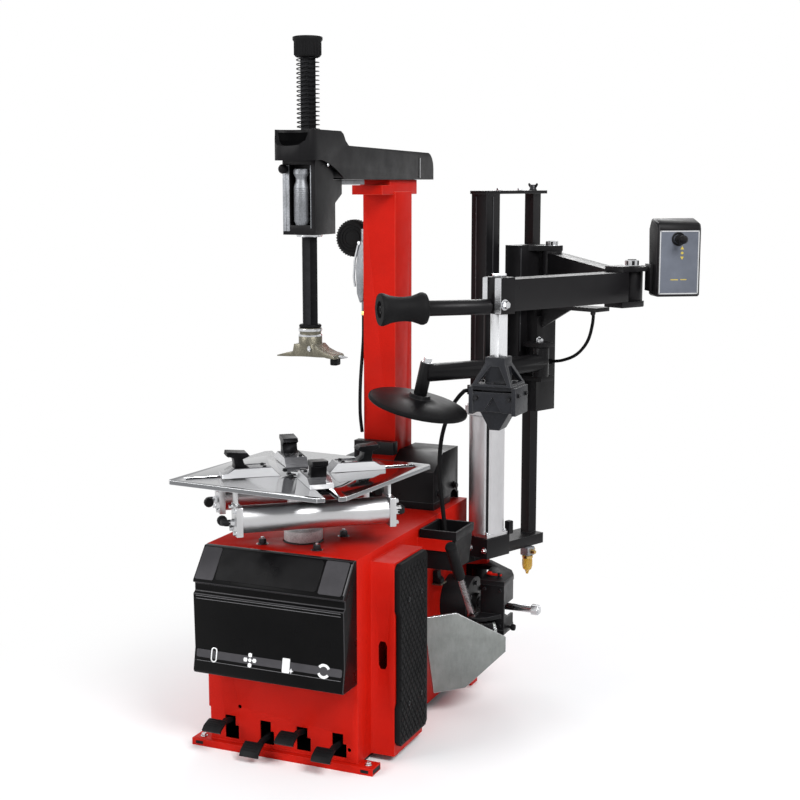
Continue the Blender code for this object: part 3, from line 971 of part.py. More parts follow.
part("outer_arm", BLACK, block(0.050, END - 0.020, -0.033, 0.033, -LINK_HALF, LINK_HALF, OUTER),
     [prism('Z', fork, LINK_HALF + RUN, LINK_HALF + RUN + 0.016, OUTER),
      prism('Z', fork, -LINK_HALF - RUN - 0.016, -LINK_HALF - RUN, OUTER),
      block(0.048, 0.074, -0.032, 0.032, -LINK_HALF - 0.012, LINK_HALF + 0.012, OUTER),
      rod('Z', (0, 0), 0.0125, -LINK_HALF - 0.010, LINK_HALF + 0.034, 20, OUTER),
      hexagon('Z', (0, 0), 0.020, LINK_HALF + 0.014, LINK_HALF + 0.030, OUTER),
      block(END - 0.024, END + 0.026, -0.035, 0.035, -LINK_HALF - 0.006, LINK_HALF + 0.006, OUTER),
      stick(ROLLER_ROOT, ROLLER_TIP, 0.013, 16, OUTER),
      block(-0.122, -CTRL_HALF - 0.004, 0.012, 0.034, -0.041, -0.028, CTRL),
      block(-CTRL_HALF - 0.009, -CTRL_HALF - GAP, -0.010, 0.037, -0.096, -0.020, CTRL)],
     [rod('Z', (END, 0), 0.012 + GAP, -0.1, 0.1, 20, OUTER)], smooth=False)

# Press tools on the second link: square bar, V block and roller
part("press_bar", STEEL,
     block(END - 0.016, END + 0.016, -0.016, 0.016, -0.175, -LINK_HALF - 0.006 - RUN, OUTER),
     [rod('Z', (END, 0), 0.012, -0.1, LINK_HALF + 0.012, 20, OUTER),
      rod('Z', (END, 0), 0.019, LINK_HALF + 0.006 + RUN, LINK_HALF + 0.014, 20, OUTER)], smooth=False,
     at=(END, 0, 0))
PRESS = frame("press_frame", (LINK_C[0], LINK_C[1], LINK_Z), under=BASE)
SOCKET_TOP = -0.163
SHELF = -0.236
BOX_TOP, BOX_LOW = SHELF - 0.018, SHELF - 0.072
socket = block(END - 0.016 - GAP, END + 0.016 + GAP, -0.016 - GAP, 0.016 + GAP, -0.175 - GAP, 0.0, OUTER)
sleeve = carve(block(-0.028, 0.028, -0.028, 0.028, SHELF - 0.008, SOCKET_TOP, PRESS), [socket])
ribs = lathe([(0, SHELF - LAP), (0.080, SHELF - LAP), (0.030, SOCKET_TOP - 0.003),
              (0, SOCKET_TOP - 0.003)], (0, 0, 0), 4, PRESS, Matrix.Rotation(math.radians(45), 4, 'Z'))
gap_face = [(-0.042, SHELF + 0.004), (0.042, SHELF + 0.004), (0.012, SOCKET_TOP - 0.024),
            (-0.012, SOCKET_TOP - 0.024)]
part("press_block", BLACK, block(-0.058, 0.058, -0.048, 0.048, SHELF - 0.012, SHELF, PRESS),
     [ribs, block(-0.036, 0.036, -0.030, 0.030, BOX_LOW + 0.020, SHELF - 0.005, PRESS),
      block(-0.060, 0.060, -0.046, 0.046, BOX_LOW, BOX_TOP, PRESS),
      block(0.054, 0.066, -0.050, 0.050, BOX_LOW - 0.006, SHELF - 0.004, PRESS),
      block(-0.066, -0.054, -0.050, 0.050, BOX_LOW - 0.006, SHELF - 0.004, PRESS),
      prism('Y', [(-0.048, BOX_LOW + 0.010), (0.048, BOX_LOW + 0.010), (0.014, BOX_LOW - 0.050),
                  (-0.014, BOX_LOW - 0.050)], -0.028, 0.028, PRESS)],
     [rod('Z', (0, 0), 0.025, SHELF + 0.010, 0.0, 24, PRESS), prism('Y', gap_face, -0.1, 0.1, PRESS),
      prism('X', gap_face, -0.1, 0.1, PRESS),
      prism('Y', [(-0.032, BOX_LOW - 0.01), (0.032, BOX_LOW - 0.01), (0.0, BOX_TOP - 0.012)], -0.1,
            -0.036, PRESS), prism('Y', [(-0.032, BOX_LOW - 0.01), (0.032, BOX_LOW - 0.01),
                                        (0.0, BOX_TOP - 0.012)], 0.036, 0.1, PRESS)], [sleeve],
     smooth=False)
ROLLER_AT = ROLLER_ROOT + roller_dir.normalized() * 0.142
part("press_roller", RUBBER,
     lathe([(0.013 + GAP, 0), (0.034, 0), (0.043, 0.008), (0.043, 0.026), (0.033, 0.060), (0.032, 0.100),
            (0.036, 0.130), (0.043, 0.160), (0.043, 0.178), (0.036, 0.188), (0.013 + GAP, 0.188)],
           ROLLER_AT, 28, OUTER, roller_dir.to_track_quat('Z', 'Y').to_matrix().to_4x4()))

# Lower disc arm on the carriage, with its turning disc
DISC_LEAN = 13.6
LEAN_AXIS = (0.087, 0.996, 0.0)
DISC = frame("disc_frame", DISC_AT, under=BASE, lean=(DISC_LEAN, LEAN_AXIS))
HUB_UP = 0.096
TUBE_R = 0.027
hub = Vector(DISC_AT) + Matrix.Rotation(math.radians(DISC_LEAN), 3,
                                        Vector(LEAN_AXIS)) @ Vector((0, 0, HUB_UP))
knee = Matrix.Rotation(math.radians(STAND_TURN), 4,
                       'Z') @ Vector((*KNEE, 0)) + Vector((STAND_X, STAND_Y, ARM_LEVEL))
elbow = Vector((0.400, 0.560, ARM_LEVEL))
part("disc_arm", BLACK, stick(elbow, hub, TUBE_R, 20),
     [stick(knee, elbow + (elbow - knee).normalized() * 0.014, TUBE_R, 20),
      rod('Z', (knee.x, knee.y), 0.026, ARM_LEVEL - 0.045, ARM_LEVEL + 0.045, 20),
      rod('Z', (0, 0), 0.020, 0.032, HUB_UP + 0.032, 20, DISC),
      rod('Z', (0, 0), 0.009, 0.006, HUB_UP + 0.044, 16, DISC)],
     [rod('Z', (knee.x, knee.y), 0.011 + GAP, 0.8, 1.2, 20)], smooth=False, at=tuple(knee))
part("lift_disc", PLASTIC,
     lathe([(0.009 + GAP, 0.031), (0.030, 0.031), (0.034, 0.020), (0.060, 0.012), (DISC_R - 0.008, 0.004),
            (DISC_R, -0.002), (DISC_R - 0.002, -0.010), (DISC_R - 0.016, -0.010), (0.060, -0.002),
            (0.009 + GAP, -0.002)], (0, 0, 0), 36, DISC))

# Control box and joystick at the elbow
CTRL_FACE = -0.040
BALL_R = 0.009
BALL_IN = 0.003
STICK_AT = (-0.004, CTRL_FACE + BALL_IN, 0.052)
part("control_box", PLASTIC,
     prism('X', [(CTRL_FACE, -0.110), (0.030, -0.110), (0.040, 0.080), (0.020, 0.110), (-0.034, 0.096),
                 (CTRL_FACE, 0.080)], -CTRL_HALF, CTRL_HALF, CTRL), [],
     [rod('Y', (STICK_AT[0], STICK_AT[2]), BALL_R + 0.005, CTRL_FACE - 0.02, STICK_AT[1] + BALL_R + GAP,
          24, CTRL)], bevel=0.005, smooth=False)
ball = [(BALL_R * math.sin(math.radians(a)), -BALL_R * math.cos(math.radians(a))) for a in (0, 30, 60, 90,
            120, 145)]
part("joystick", PLASTIC,
     lathe([(0, ball[0][1])] + ball[1:] + [(0.005, 0.030), (0.011, 0.034), (0.012, 0.050), (0.006, 0.057),
                                           (0, 0.057)], STICK_AT, 16, CTRL,
           turn=Matrix.Rotation(math.radians(90), 4, 'X')))

# Air filter under the stand beam, and the hoses
FILTER_X, FILTER_Y = 0.040, 0.175
FILTER_TOP = BEAM_Z - BEAM_TALL - GAP
HEAD_LOW = FILTER_TOP - 0.030
BOWL_TALL = 0.056
part("filter_head", GREY,
     block(FILTER_X - 0.018, FILTER_X + 0.018, FILTER_Y - 0.018, FILTER_Y + 0.018, HEAD_LOW, FILTER_TOP,
           STAND), bevel=0.003, smooth=False)
part("filter_bowl", YELLOW,
     lathe([(0, 0), (0.006, 0), (0.008, 0.006), (0.014, 0.010), (0.016, 0.018), (0.016, BOWL_TALL),
            (0, BOWL_TALL)], (FILTER_X, FILTER_Y, HEAD_LOW - GAP - BOWL_TALL), 20, STAND))
feed = smooth_path([(0.2531, 0.6500, CLIP_Z), (0.2420, 0.6210, CLIP_Z - 0.004),
                    (0.222, 0.572, CLIP_Z - 0.050), (0.211, 0.522, 0.815), (0.228, 0.462, 0.715),
                    (0.258, 0.415, 0.625), (0.283, 0.380, 0.540)], 22)
hose("feed_hose", RUBBER, feed, 0.0065)
loop_run = smooth_path([(0.338, 0.112, PLATE_Z - 0.0132), (0.337, 0.113, PLATE_Z - 0.045),
                        (0.312, 0.122, PLATE_Z - 0.105), (0.258, 0.138, PLATE_Z - 0.152),
                        (0.190, 0.154, PLATE_Z - 0.178), (SIDE_X + 0.0012, 0.166, PLATE_Z - 0.188)], 18)
hose("carriage_hose", RUBBER, loop_run, 0.0050, STAND)
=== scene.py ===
"""Dressed scene of the tire changer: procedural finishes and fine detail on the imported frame."""
from itertools import product
from math import atan2, cos, degrees, hypot, pi, radians, sin, sqrt

import bmesh
import bpy
from mathutils import Matrix, Vector


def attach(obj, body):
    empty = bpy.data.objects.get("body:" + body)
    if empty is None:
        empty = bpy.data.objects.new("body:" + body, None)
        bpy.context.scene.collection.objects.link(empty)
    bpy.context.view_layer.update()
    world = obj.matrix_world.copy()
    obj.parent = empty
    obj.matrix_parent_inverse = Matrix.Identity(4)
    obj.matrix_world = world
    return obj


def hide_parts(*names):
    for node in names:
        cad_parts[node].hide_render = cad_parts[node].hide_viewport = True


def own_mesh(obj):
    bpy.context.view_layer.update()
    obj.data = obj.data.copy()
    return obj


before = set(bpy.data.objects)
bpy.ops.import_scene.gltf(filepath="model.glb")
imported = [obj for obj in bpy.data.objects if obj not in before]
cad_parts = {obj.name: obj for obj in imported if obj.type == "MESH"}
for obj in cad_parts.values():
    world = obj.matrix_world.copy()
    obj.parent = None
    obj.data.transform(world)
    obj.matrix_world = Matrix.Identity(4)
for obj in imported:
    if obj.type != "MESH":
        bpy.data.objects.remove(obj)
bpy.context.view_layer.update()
SCENE = bpy.context.scene
move = Matrix.Translation


def linked(name, data):
    """A new object of the scene."""
    obj = bpy.data.objects.new(name, data)
    SCENE.collection.objects.link(obj)
    return obj


# Camera at the photograph's viewing angle
lens = bpy.data.cameras.new("camera")
lens.lens = 63.72
lens.sensor_width = 36
camera = linked("camera", lens)
camera.location = (1.4527, -3.799, 1.599)
camera.rotation_euler = (radians(90 - 8.81), 0, radians(23.42))
SCENE.camera = camera


def spun(angle, axis='Z'):
    """A turn by degrees about an axis."""
    return Matrix.Rotation(radians(angle), 4, axis)


def placed(at, turn, under):
    """A frame at a point of another one, turned about its own Z."""
    return under @ move(at) @ spun(turn)


def heading(a, b):
    """The angle in degrees and the distance from one plan point to another."""
    return degrees(atan2(b[1] - a[1], b[0] - a[0])), hypot(b[0] - a[0], b[1] - a[1])


# Working frames of the machine, as in the part's source. Lengths in them are millimetres.
MM = 0.001
PLAN = placed((-347.3, -330, 0), 0, Matrix.Scale(MM, 4))
TABLE = placed((0, 0, 0), 40, PLAN)
STAND = placed((285, 697, 0), -22, PLAN)
LINK_Z = 1300
LINK_A, LINK_B, LINK_C = (466, 808), (791, 535), (555, 65)
INNER_TURN, _ = heading(LINK_A, LINK_B)
OUTER_TURN, OUTER_LONG = heading(LINK_B, LINK_C)
INNER = placed((*LINK_A, LINK_Z), INNER_TURN, PLAN)
OUTER = placed((*LINK_B, LINK_Z), OUTER_TURN, PLAN)
PRESS = placed((*LINK_C, LINK_Z), 0, PLAN)
CTRL = placed((912, 538, LINK_Z + 85), 32, PLAN)
DISC = PLAN @ move((200, 360, 945)) @ spun(13.6, Vector((0.087, 0.996, 0)))
FACING = {'+X': spun(90, 'Y'), '-X': spun(-90, 'Y'), '+Y': spun(-90, 'X'), '-Y': spun(90, 'X'),
    '+Z': spun(0), '-Z': spun(180, 'X')}
# A side view drawn in the machine's depth and height, pushed along its width
SIDEWAYS = Matrix(((0, 0, 1), (1, 0, 0), (0, 1, 0))).to_4x4()

# Sizes that several pieces share, and two more frames
CAB_HALF, CAB_FRONT, CAB_BACK, CAB_TOP = 232, -138, 690, 594
TABLE_TOP, SADDLE_TOP, CLAW_TOP = 790, 815, 862
SHAFT_Y = 55
COL_FRONT = 525
HOUSE_CROWN, CAP_LOW, HUB_Z = 1688, 1930.3, 1160
STAND_TOP, POST_OFF, PLATE_Z = 1560, 225, 1221.4
LIFT_Y, LIFT_TOP, LIFT_LOW = -83, 912, 508
LIFT = placed((88, LIFT_Y, 0), 0, STAND)
INFLATOR = placed((-54.3, COL_FRONT, 0), 0, PLAN)


class Look:
    """A Principled material whose colour, gloss and bump come from noise in the object's own coordinates."""

    def __init__(self, name, metal=0.0, specular=0.5, **sockets):
        self.mat = bpy.data.materials.new(name)
        self.mat.use_nodes = True
        self.tree = self.mat.node_tree
        self.shader = self.tree.nodes["Principled BSDF"]
        sockets.update({"Metallic": metal, "Specular IOR Level": specular})
        for socket, value in sockets.items():
            self.shader.inputs[socket.replace("_", " ")].default_value = value
        self.coords = self.tree.nodes.new("ShaderNodeTexCoord").outputs["Object"]

    def node(self, kind, values=None, **settings):
        made = self.tree.nodes.new(kind)
        for key, value in settings.items():
            setattr(made, key, value)
        for socket, value in (values or {}).items():
            made.inputs[socket].default_value = value
        return made

    def join(self, source, target):
        self.tree.links.new(source, target)

    def stretch(self, scale, turn):
        mapping = self.node("ShaderNodeMapping", {"Scale": scale, "Rotation": [radians(a) for a in turn]})
        self.join(self.coords, mapping.inputs["Vector"])
        return mapping.outputs["Vector"]

    def noise(self, scale, detail=3.0, rough=0.5, stretch=None, turn=(0, 0, 0)):
        made = self.node("ShaderNodeTexNoise", {"Scale": scale, "Detail": detail, "Roughness": rough})
        self.join(self.stretch(stretch, turn) if stretch else self.coords, made.inputs["Vector"])
        return made.outputs["Fac"]

    def cells(self, scale):
        made = self.node("ShaderNodeTexVoronoi", {"Scale": scale})
        self.join(self.coords, made.inputs["Vector"])
        return made.outputs["Distance"]

    def ramp(self, source, *stops):
        made = self.node("ShaderNodeValToRGB")
        spots = made.color_ramp.elements
        while len(spots) < len(stops):
            spots.new(0.5)
        for spot, (place, tone) in zip(spots, stops):
            spot.position = place
            spot.color = (tone, tone, tone, 1.0) if isinstance(tone, (int, float)) else (*tone, 1.0)
        self.join(source, made.inputs["Fac"])
        return made.outputs["Color"]

    def blend(self, share, a, b, kind='MIX'):
        made = self.node("ShaderNodeMix", data_type='RGBA', blend_type=kind)
        for source, socket in ((share, made.inputs["Factor"]), (a, made.inputs[6]), (b, made.inputs[7])):
            if isinstance(source, (int, float)):
                socket.default_value = source
            elif isinstance(source, tuple):
                socket.default_value = (*source, 1.0)
            else:
                self.join(source, socket)
        return made.outputs[2]

    def colour(self, source):
        self.join(source, self.shader.inputs["Base Color"])

    def gloss(self, source):
        self.join(source, self.shader.inputs["Roughness"])

    def bump(self, source, strength, distance):
        made = self.node("ShaderNodeBump", {"Strength": strength, "Distance": distance})
        self.join(source, made.inputs["Height"])
        if self.shader.inputs["Normal"].is_linked:
            self.join(self.shader.inputs["Normal"].links[0].from_socket, made.inputs["Normal"])
        self.join(made.outputs["Normal"], self.shader.inputs["Normal"])


def shade(tone, by):
    return tuple(min(1.0, c * by) for c in tone)


def paint(name, tone, rough, dust=(0.2, 0.18, 0.17), peel=0.1, chips=(0.5, 0.48, 0.46), wear=0.74,
        **sockets):
    """Sprayed paint: slow tone drift, fine flake, orange peel, and a few rubbed specks."""
    look = Look(name, **sockets)
    drift = look.ramp(look.noise(7, 4, 0.6), (0.3, shade(tone, 0.9)), (0.72, shade(tone, 1.06)))
    flake = look.ramp(look.noise(900, 2), (0.35, 0.82), (0.65, 1))
    body = look.blend(1, drift, flake, 'MULTIPLY')
    rubbed = look.ramp(look.noise(160, 6, 0.72), (wear, 0), (wear + 0.05, 1))
    body = look.blend(rubbed, body, chips)
    haze = look.ramp(look.noise(3.2, 5, 0.65), (0.5, 0), (0.95, 0.1))
    look.colour(look.blend(haze, body, dust))
    look.gloss(look.ramp(look.noise(26, 5, 0.65), (0.25, rough - 0.08), (0.8, rough + 0.12)))
    look.bump(look.noise(420, 2), peel, 0.0004)
    return look.mat


def moulded(name, tone, rough, grain=1100, depth=0.22, **sockets):
    """Moulded plastic or rubber: fine pebble grain, faint scuffs and drifting gloss."""
    look = Look(name, **sockets)
    drift = look.ramp(look.noise(9, 4, 0.6), (0.3, shade(tone, 0.8)), (0.75, shade(tone, 1.25)))
    scuff = look.ramp(look.noise(30, 8, 0.75, (1, 5, 1), (0, 0, 28)), (0.62, 0), (0.8, 0.22))
    look.colour(look.blend(scuff, drift, shade(tone, 3.2)))
    look.gloss(look.ramp(look.noise(16, 5, 0.6), (0.25, rough - 0.07), (0.8, rough + 0.12)))
    look.bump(look.cells(grain), depth, 0.0004)
    return look.mat


def metal(name, tone, rough, brush=(1, 1, 40), scratch=0.5, shine=1, calm=0.72, vary=0.16, dent=0.06,
        **sockets):
    """Worked metal: brushing along one way, crossing scratches, and patches of duller surface."""
    look = Look(name, shine, **sockets)
    lines = look.noise(38, 6, 0.65, brush)
    drift = look.ramp(look.noise(11, 5, 0.62), (0.28, shade(tone, calm)), (0.7, tone))
    grain = look.ramp(lines, (0.3, 0.5 + calm / 2.4), (0.7, 1))
    body = look.blend(1, drift, grain, 'MULTIPLY')
    cuts = look.ramp(look.noise(46, 3, 0.5, (1, 22, 9), (20, 35, 50)), (0.66, 0), (0.71, scratch))
    look.colour(look.blend(cuts, body, shade(tone, 1.35)))
    look.gloss(look.ramp(lines, (0.25, rough - 0.4 * vary), (0.8, rough + vary)))
    look.bump(lines, dent, 0.0003)
    return look.mat


def cast(name, tone, rough, shine=0.6, **sockets):
    """Sand-cast metal: pitted skin with darker hollows."""
    look = Look(name, shine, **sockets)
    pits = look.noise(240, 5, 0.68)
    drift = look.ramp(look.noise(14, 4), (0.3, shade(tone, 0.7)), (0.72, shade(tone, 1.2)))
    look.colour(look.blend(1, drift, look.ramp(pits, (0.3, 0.62), (0.62, 1)), 'MULTIPLY'))
    look.gloss(look.ramp(pits, (0.3, rough + 0.12), (0.75, rough - 0.06)))
    look.bump(pits, 0.35, 0.001)
    return look.mat


RED = paint("red_enamel", (0.57, 0.011, 0.0045), 0.46, dust=(0.3, 0.1, 0.08), wear=0.83,
    chips=(0.6, 0.12, 0.08), specular=0.08)
RED_EDGE = paint("red_edge", (0.68, 0.04, 0.022), 0.36, wear=0.7, chips=(0.5, 0.3, 0.26), specular=0.22)
BLACK = paint("black_enamel", (0.0085, 0.008, 0.0088), 0.34, dust=(0.05, 0.05, 0.05),
    chips=(0.07, 0.07, 0.074), wear=0.81, specular=0.12)
BLACK_EDGE = paint("black_edge", (0.046, 0.046, 0.049), 0.32, dust=(0.1, 0.1, 0.1), chips=(0.3, 0.3, 0.31),
    wear=0.64, specular=0.28)
PLASTIC = moulded("satin_plastic", (0.0072, 0.0069, 0.0076), 0.4, specular=0.09)
PAINTED_SHADE_BLACK = moulded("painted_shade_black", (0.0012, 0.0012, 0.0014), 0.6, 900, 0.05, specular=0.02)
PLASTIC_EDGE = moulded("plastic_edge", (0.03, 0.029, 0.031), 0.36, specular=0.24)
PANEL = moulded("panel_plastic", (0.003, 0.0029, 0.0031), 0.3, 1400, 0.12, specular=0.07)
RIDGE_HIGHLIGHT = moulded("ridge_painted_highlight", (0.11, 0.108, 0.112), 0.34, 1100, 0.1)
RUBBER = moulded("black_rubber", (0.0055, 0.0054, 0.0058), 0.62, 700, 0.3, specular=0.1)
STEEL = metal("bright_steel", (0.74, 0.75, 0.77), 0.2)
POLISHED = metal("polished_plate", (0.225, 0.23, 0.24), 0.07, (1, 14, 14), 0.1, calm=0.95, vary=0.03,
    dent=0.004)
GROUND = metal("ground_bar", (0.86, 0.87, 0.89), 0.24, (20, 20, 1), 0.1, calm=0.94)
OXIDE = metal("black_oxide", (0.012, 0.012, 0.013), 0.4, (1, 1, 3), 0.35)
LAND = metal("polished_land", (0.84, 0.85, 0.87), 0.14, (1, 14, 14), 0.2)
DARK = metal("dark_steel", (0.036, 0.036, 0.039), 0.34, (1, 1, 3), 0.5, 0.9)
ALU = metal("extruded_aluminium", (0.62, 0.615, 0.63), 0.38, (30, 30, 1), 0.12, calm=0.9)
CLAMP_ALU = metal("clamp_aluminium", (0.6, 0.6, 0.61), 0.32, (40, 40, 1), 0.15, calm=0.92)
ZINC = metal("zinc_plate", (0.3, 0.315, 0.305), 0.42, (3, 3, 1), 0.45)
GREY = cast("grey_casting", (0.3, 0.31, 0.33), 0.42, 0.75)
PALE = cast("pale_casting", (0.8, 0.8, 0.8), 0.46, 0.2)
IRON = cast("black_casting", (0.011, 0.011, 0.012), 0.46, 0.15, specular=0.14)
DULL_IRON = cast("raw_casting", (0.13, 0.135, 0.14), 0.56, 0.6)
BRASS = metal("brass", (0.7, 0.48, 0.17), 0.26, (2, 2, 20), 0.3)
HEAD_IRON = cast("bronzed_casting", (0.21, 0.195, 0.15), 0.36, 0.85)
SLATE = cast("slate_casting", (0.017, 0.018, 0.022), 0.42, 0.2, specular=0.22)
WHITE = moulded("white_print", (0.8, 0.8, 0.8), 0.5, 1500, 0.1)
YELLOW = moulded("yellow_print", (0.48, 0.37, 0.05), 0.48, 1500, 0.1)
GRAINED = moulded("grained_plastic", (0.052, 0.05, 0.054), 0.62, 520, 0.6, specular=0.16)
GLOSS = moulded("gloss_plastic", (0.005, 0.0048, 0.0053), 0.16, 1800, 0.03, specular=0.14)
FACEPLATE = moulded("grey_faceplate", (0.105, 0.115, 0.14), 0.46, 1300, 0.12, specular=0.25)
BOWL = moulded("amber_bowl", (0.62, 0.38, 0.05), 0.22, 500, 0.05, Transmission_Weight=0.45, IOR=1.49)


def saddle_look():
    """Jaw saddles: upright flanks painted near-white as a painted highlight, and the top painted dark grey,
    picked by the way each face points.
    """
    look = Look("saddle_steel_painted_light", 0.55, Roughness=0.16)
    split = look.node("ShaderNodeSeparateXYZ")
    look.join(look.node("ShaderNodeTexCoord").outputs["Normal"], split.inputs["Vector"])
    lines = look.noise(60, 5, 0.6, (1, 1, 8))
    flank_painted_highlight = look.ramp(lines, (0.3, (0.9, 0.9, 0.91)), (0.7, (0.97, 0.97, 0.98)))
    top_painted_dark = look.ramp(lines, (0.3, (0.14, 0.14, 0.15)), (0.7, (0.24, 0.24, 0.25)))
    # Painted light: faces that stand upright get the near-white painted highlight, faces that point up the
    # dark grey.
    look.colour(look.blend(look.ramp(split.outputs["Z"], (0.3, 0), (0.4, 1)), flank_painted_highlight, top_painted_dark))
    return look.mat


SADDLE = saddle_look()

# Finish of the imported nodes: material, edge material, and the nodes by their edge round in millimetres
FINISH = (
    (RED, RED_EDGE, {1.6: "cabinet", 1.2: "side_cover", 2.2: "column"}),
    (BLACK, BLACK_EDGE, {1.8: "column_base", 2: "bead_cylinder", 1.2: "lock_housing disc_arm",
        1.4: "breaker_arm stand_post carriage inner_arm outer_arm"}),
    (PANEL, PLASTIC_EDGE, {2.2: "front_panel"}),
    (PLASTIC, PLASTIC_EDGE, {0.8: "lube_bucket lift_disc", 5.5: "arm_cover", 1: "control_box"}),
    (PLASTIC, PLASTIC, {0.8: "lock_knob", 1: "mount_insert", 0.6: "joystick"}),
    (RUBBER, RUBBER, {2: "wheel_pad", 0.4: "drive_belt", 1: "inflator_gauge shaft_cap"}),
    (STEEL, STEEL, {1: "pivot_pin", 0.8: "breaker_rod breaker_lever"}),
    (GREY, GREY, {1: "motor filter_head", 0.8: "lock_cylinder"}),
    (GREY, STEEL, {1: "inflator_gun"}),
    (DULL_IRON, DULL_IRON, {1: "gearbox", 0.5: "gear_pulley"}),
    (DARK, DARK, {0.5: "motor_pulley", 1: "arm_beam"}),
    (OXIDE, DARK, {1.2: "jaw_1 jaw_2 jaw_3 jaw_4 tool_shaft"}),
    (CLAMP_ALU, STEEL, {1: "clamp_cylinder_near clamp_cylinder_far"}),
    (ALU, STEEL, {1.2: "lift_cylinder"}),
    (ZINC, STEEL, {1.2: "breaker_blade"}),
    (POLISHED, STEEL, {1: "turntable_plate"}),
    (HEAD_IRON, STEEL, {1.2: "mount_head"}),
    (SLATE, BLACK_EDGE, {1.2: "press_block"}),
    (GROUND, GROUND, {0.2: "press_bar"}),
    (PALE, PALE, {1: "spindle"}),
    (BOWL, BOWL, {0.8: "filter_bowl"}),
)


def edge_round(obj, width):
    """Rounds an object's edges by a small bevel."""
    rounder = obj.modifiers.new("edge_round", 'BEVEL')
    rounder.width = width * MM
    rounder.segments = 2
    rounder.limit_method = 'ANGLE'
    rounder.angle_limit = radians(40)
    rounder.harden_normals = True
    return rounder


def dress(obj, main, edge, width):
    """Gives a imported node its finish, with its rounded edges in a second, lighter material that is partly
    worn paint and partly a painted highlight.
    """
    mesh = obj.data
    mesh.materials.clear()
    mesh.materials.append(main)
    mesh.materials.append(edge)
    for face in mesh.polygons:
        face.material_index = 0
        face.use_smooth = True
    mesh.set_sharp_from_angle(angle=radians(28))
    obj.modifiers.new("weld", 'WELD').merge_threshold = 0.00002
    flat = obj.modifiers.new("flat_faces", 'DECIMATE')
    flat.decimate_type = 'DISSOLVE'
    flat.angle_limit = radians(0.5)
    # The bevel faces take the lighter edge material: partly wear, partly a painted highlight along every
    # edge
    edge_round(obj, width).material = 1


for main, edge, rounds in FINISH:
    for width, nodes in rounds.items():
        for node in nodes.split():
            dress(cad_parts[node], main, edge, width)

# Stage: a pale floor and soft studio light
floor_mesh = bpy.data.meshes.new("floor")
bm = bmesh.new()
bmesh.ops.create_grid(bm, x_segments=8, y_segments=8, size=9.0)
bm.to_mesh(floor_mesh)
bm.free()
floor = linked("floor", floor_mesh)
floor.location = (0, 0, -0.0005)
pale = Look("pale_floor", Roughness=0.9)
pale.colour(pale.ramp(pale.noise(1.5, 3.0), (0.3, 0.93), (0.7, 0.97)))
floor_mesh.materials.append(pale.mat)


def sight_rays(tree):
    """One where a ray comes from the camera, a reflection or a clear body, and zero for light."""
    rays = tree.nodes.new("ShaderNodeLightPath").outputs
    seen = rays["Is Camera Ray"]
    for name in ("Is Glossy Ray", "Is Transmission Ray"):
        either = tree.nodes.new("ShaderNodeMath")
        either.operation = 'MAXIMUM'
        tree.links.new(seen, either.inputs[0])
        tree.links.new(rays[name], either.inputs[1])
        seen = either.outputs[0]
    return seen


def whiten(tree, share, shader, kind, target):
    """Blends a shader into plain white of strength one, as far as the share goes."""
    white = tree.nodes.new(kind)
    white.inputs["Color"].default_value = (1.0, 1.0, 1.0, 1.0)
    white.inputs["Strength"].default_value = 1.0
    mixer = tree.nodes.new("ShaderNodeMixShader")
    for socket, source in enumerate((share, shader.outputs[0], white.outputs[0])):
        tree.links.new(source, mixer.inputs[socket])
    tree.links.new(mixer.outputs[0], target.inputs["Surface"])


# The floor keeps the shadow near the machine and melts into the white surround further out
FADE_FROM, FADE_TO = 0.55, 1.7
reach = pale.node("ShaderNodeVectorMath", operation='LENGTH')
pale.join(pale.coords, reach.inputs[0])
far = pale.node("ShaderNodeMapRange", {"From Min": FADE_FROM, "From Max": FADE_TO},
    interpolation_type='SMOOTHSTEP')
pale.join(reach.outputs["Value"], far.inputs["Value"])
fade = pale.node("ShaderNodeMath", operation='MULTIPLY')
pale.join(far.outputs["Result"], fade.inputs[0])
pale.join(sight_rays(pale.tree), fade.inputs[1])
whiten(pale.tree, fade.outputs[0], pale.shader, "ShaderNodeEmission", pale.tree.nodes["Material Output"])


def lamp(name, at, aim, size, power):
    data = bpy.data.lights.new(name, 'AREA')
    data.shape = 'DISK'
    data.size = size
    data.energy = power
    obj = linked(name, data)
    obj.location = at
    obj.rotation_euler = (Vector(aim) - Vector(at)).to_track_quat('-Z', 'Y').to_euler()


lamp("key", (3.2, -2.6, 4.2), (0, 0, 0.8), 2.4, 230)
lamp("fill", (-2.8, -3.4, 2.6), (0, 0, 0.8), 2.6, 90)
lamp("back", (-1, 3.6, 3.6), (0, 0, 1), 2.2, 80)

world = bpy.data.worlds.new("studio")
SCENE.world = world
world.use_nodes = True
tree = world.node_tree
soft = tree.nodes["Background"]
soft.inputs["Color"].default_value = (0.92, 0.95, 1.0, 1.0)
soft.inputs["Strength"].default_value = 0.45
whiten(tree, sight_rays(tree), soft, "ShaderNodeBackground", tree.nodes["World Output"])
SCENE.view_settings.view_transform = 'Standard'

# Hoses: the routes of the part's source, each one smooth tube
PATH_STEPS = 24


def smooth_path(points, count):
    """Evenly spread points on a smooth curve through the given ones."""
    pts = [Vector(p) for p in points]
    pts = [2 * pts[0] - pts[1]] + pts + [2 * pts[-1] - pts[-2]]
    dense = []
    for i in range(1, len(pts) - 2):
        a, b, c, d = pts[i - 1:i + 3]
        for k in range(PATH_STEPS):
            t = k / PATH_STEPS
            dense.append(0.5 * (2 * b + (c - a) * t + (2 * a - 5 * b + 4 * c - d) * t * t
                + (3 * b - a - 3 * c + d) * t ** 3))
    dense.append(pts[-2])
    steps = [(b - a).length for a, b in zip(dense, dense[1:])]
    total = sum(steps)
    even, walked, i = [dense[0]], 0, 0
    for n in range(1, count):
        goal = total * n / count
        while walked + steps[i] < goal:
            walked += steps[i]
            i += 1
        even.append(dense[i].lerp(dense[i + 1], (goal - walked) / steps[i]))
    return even + [dense[-1]], total


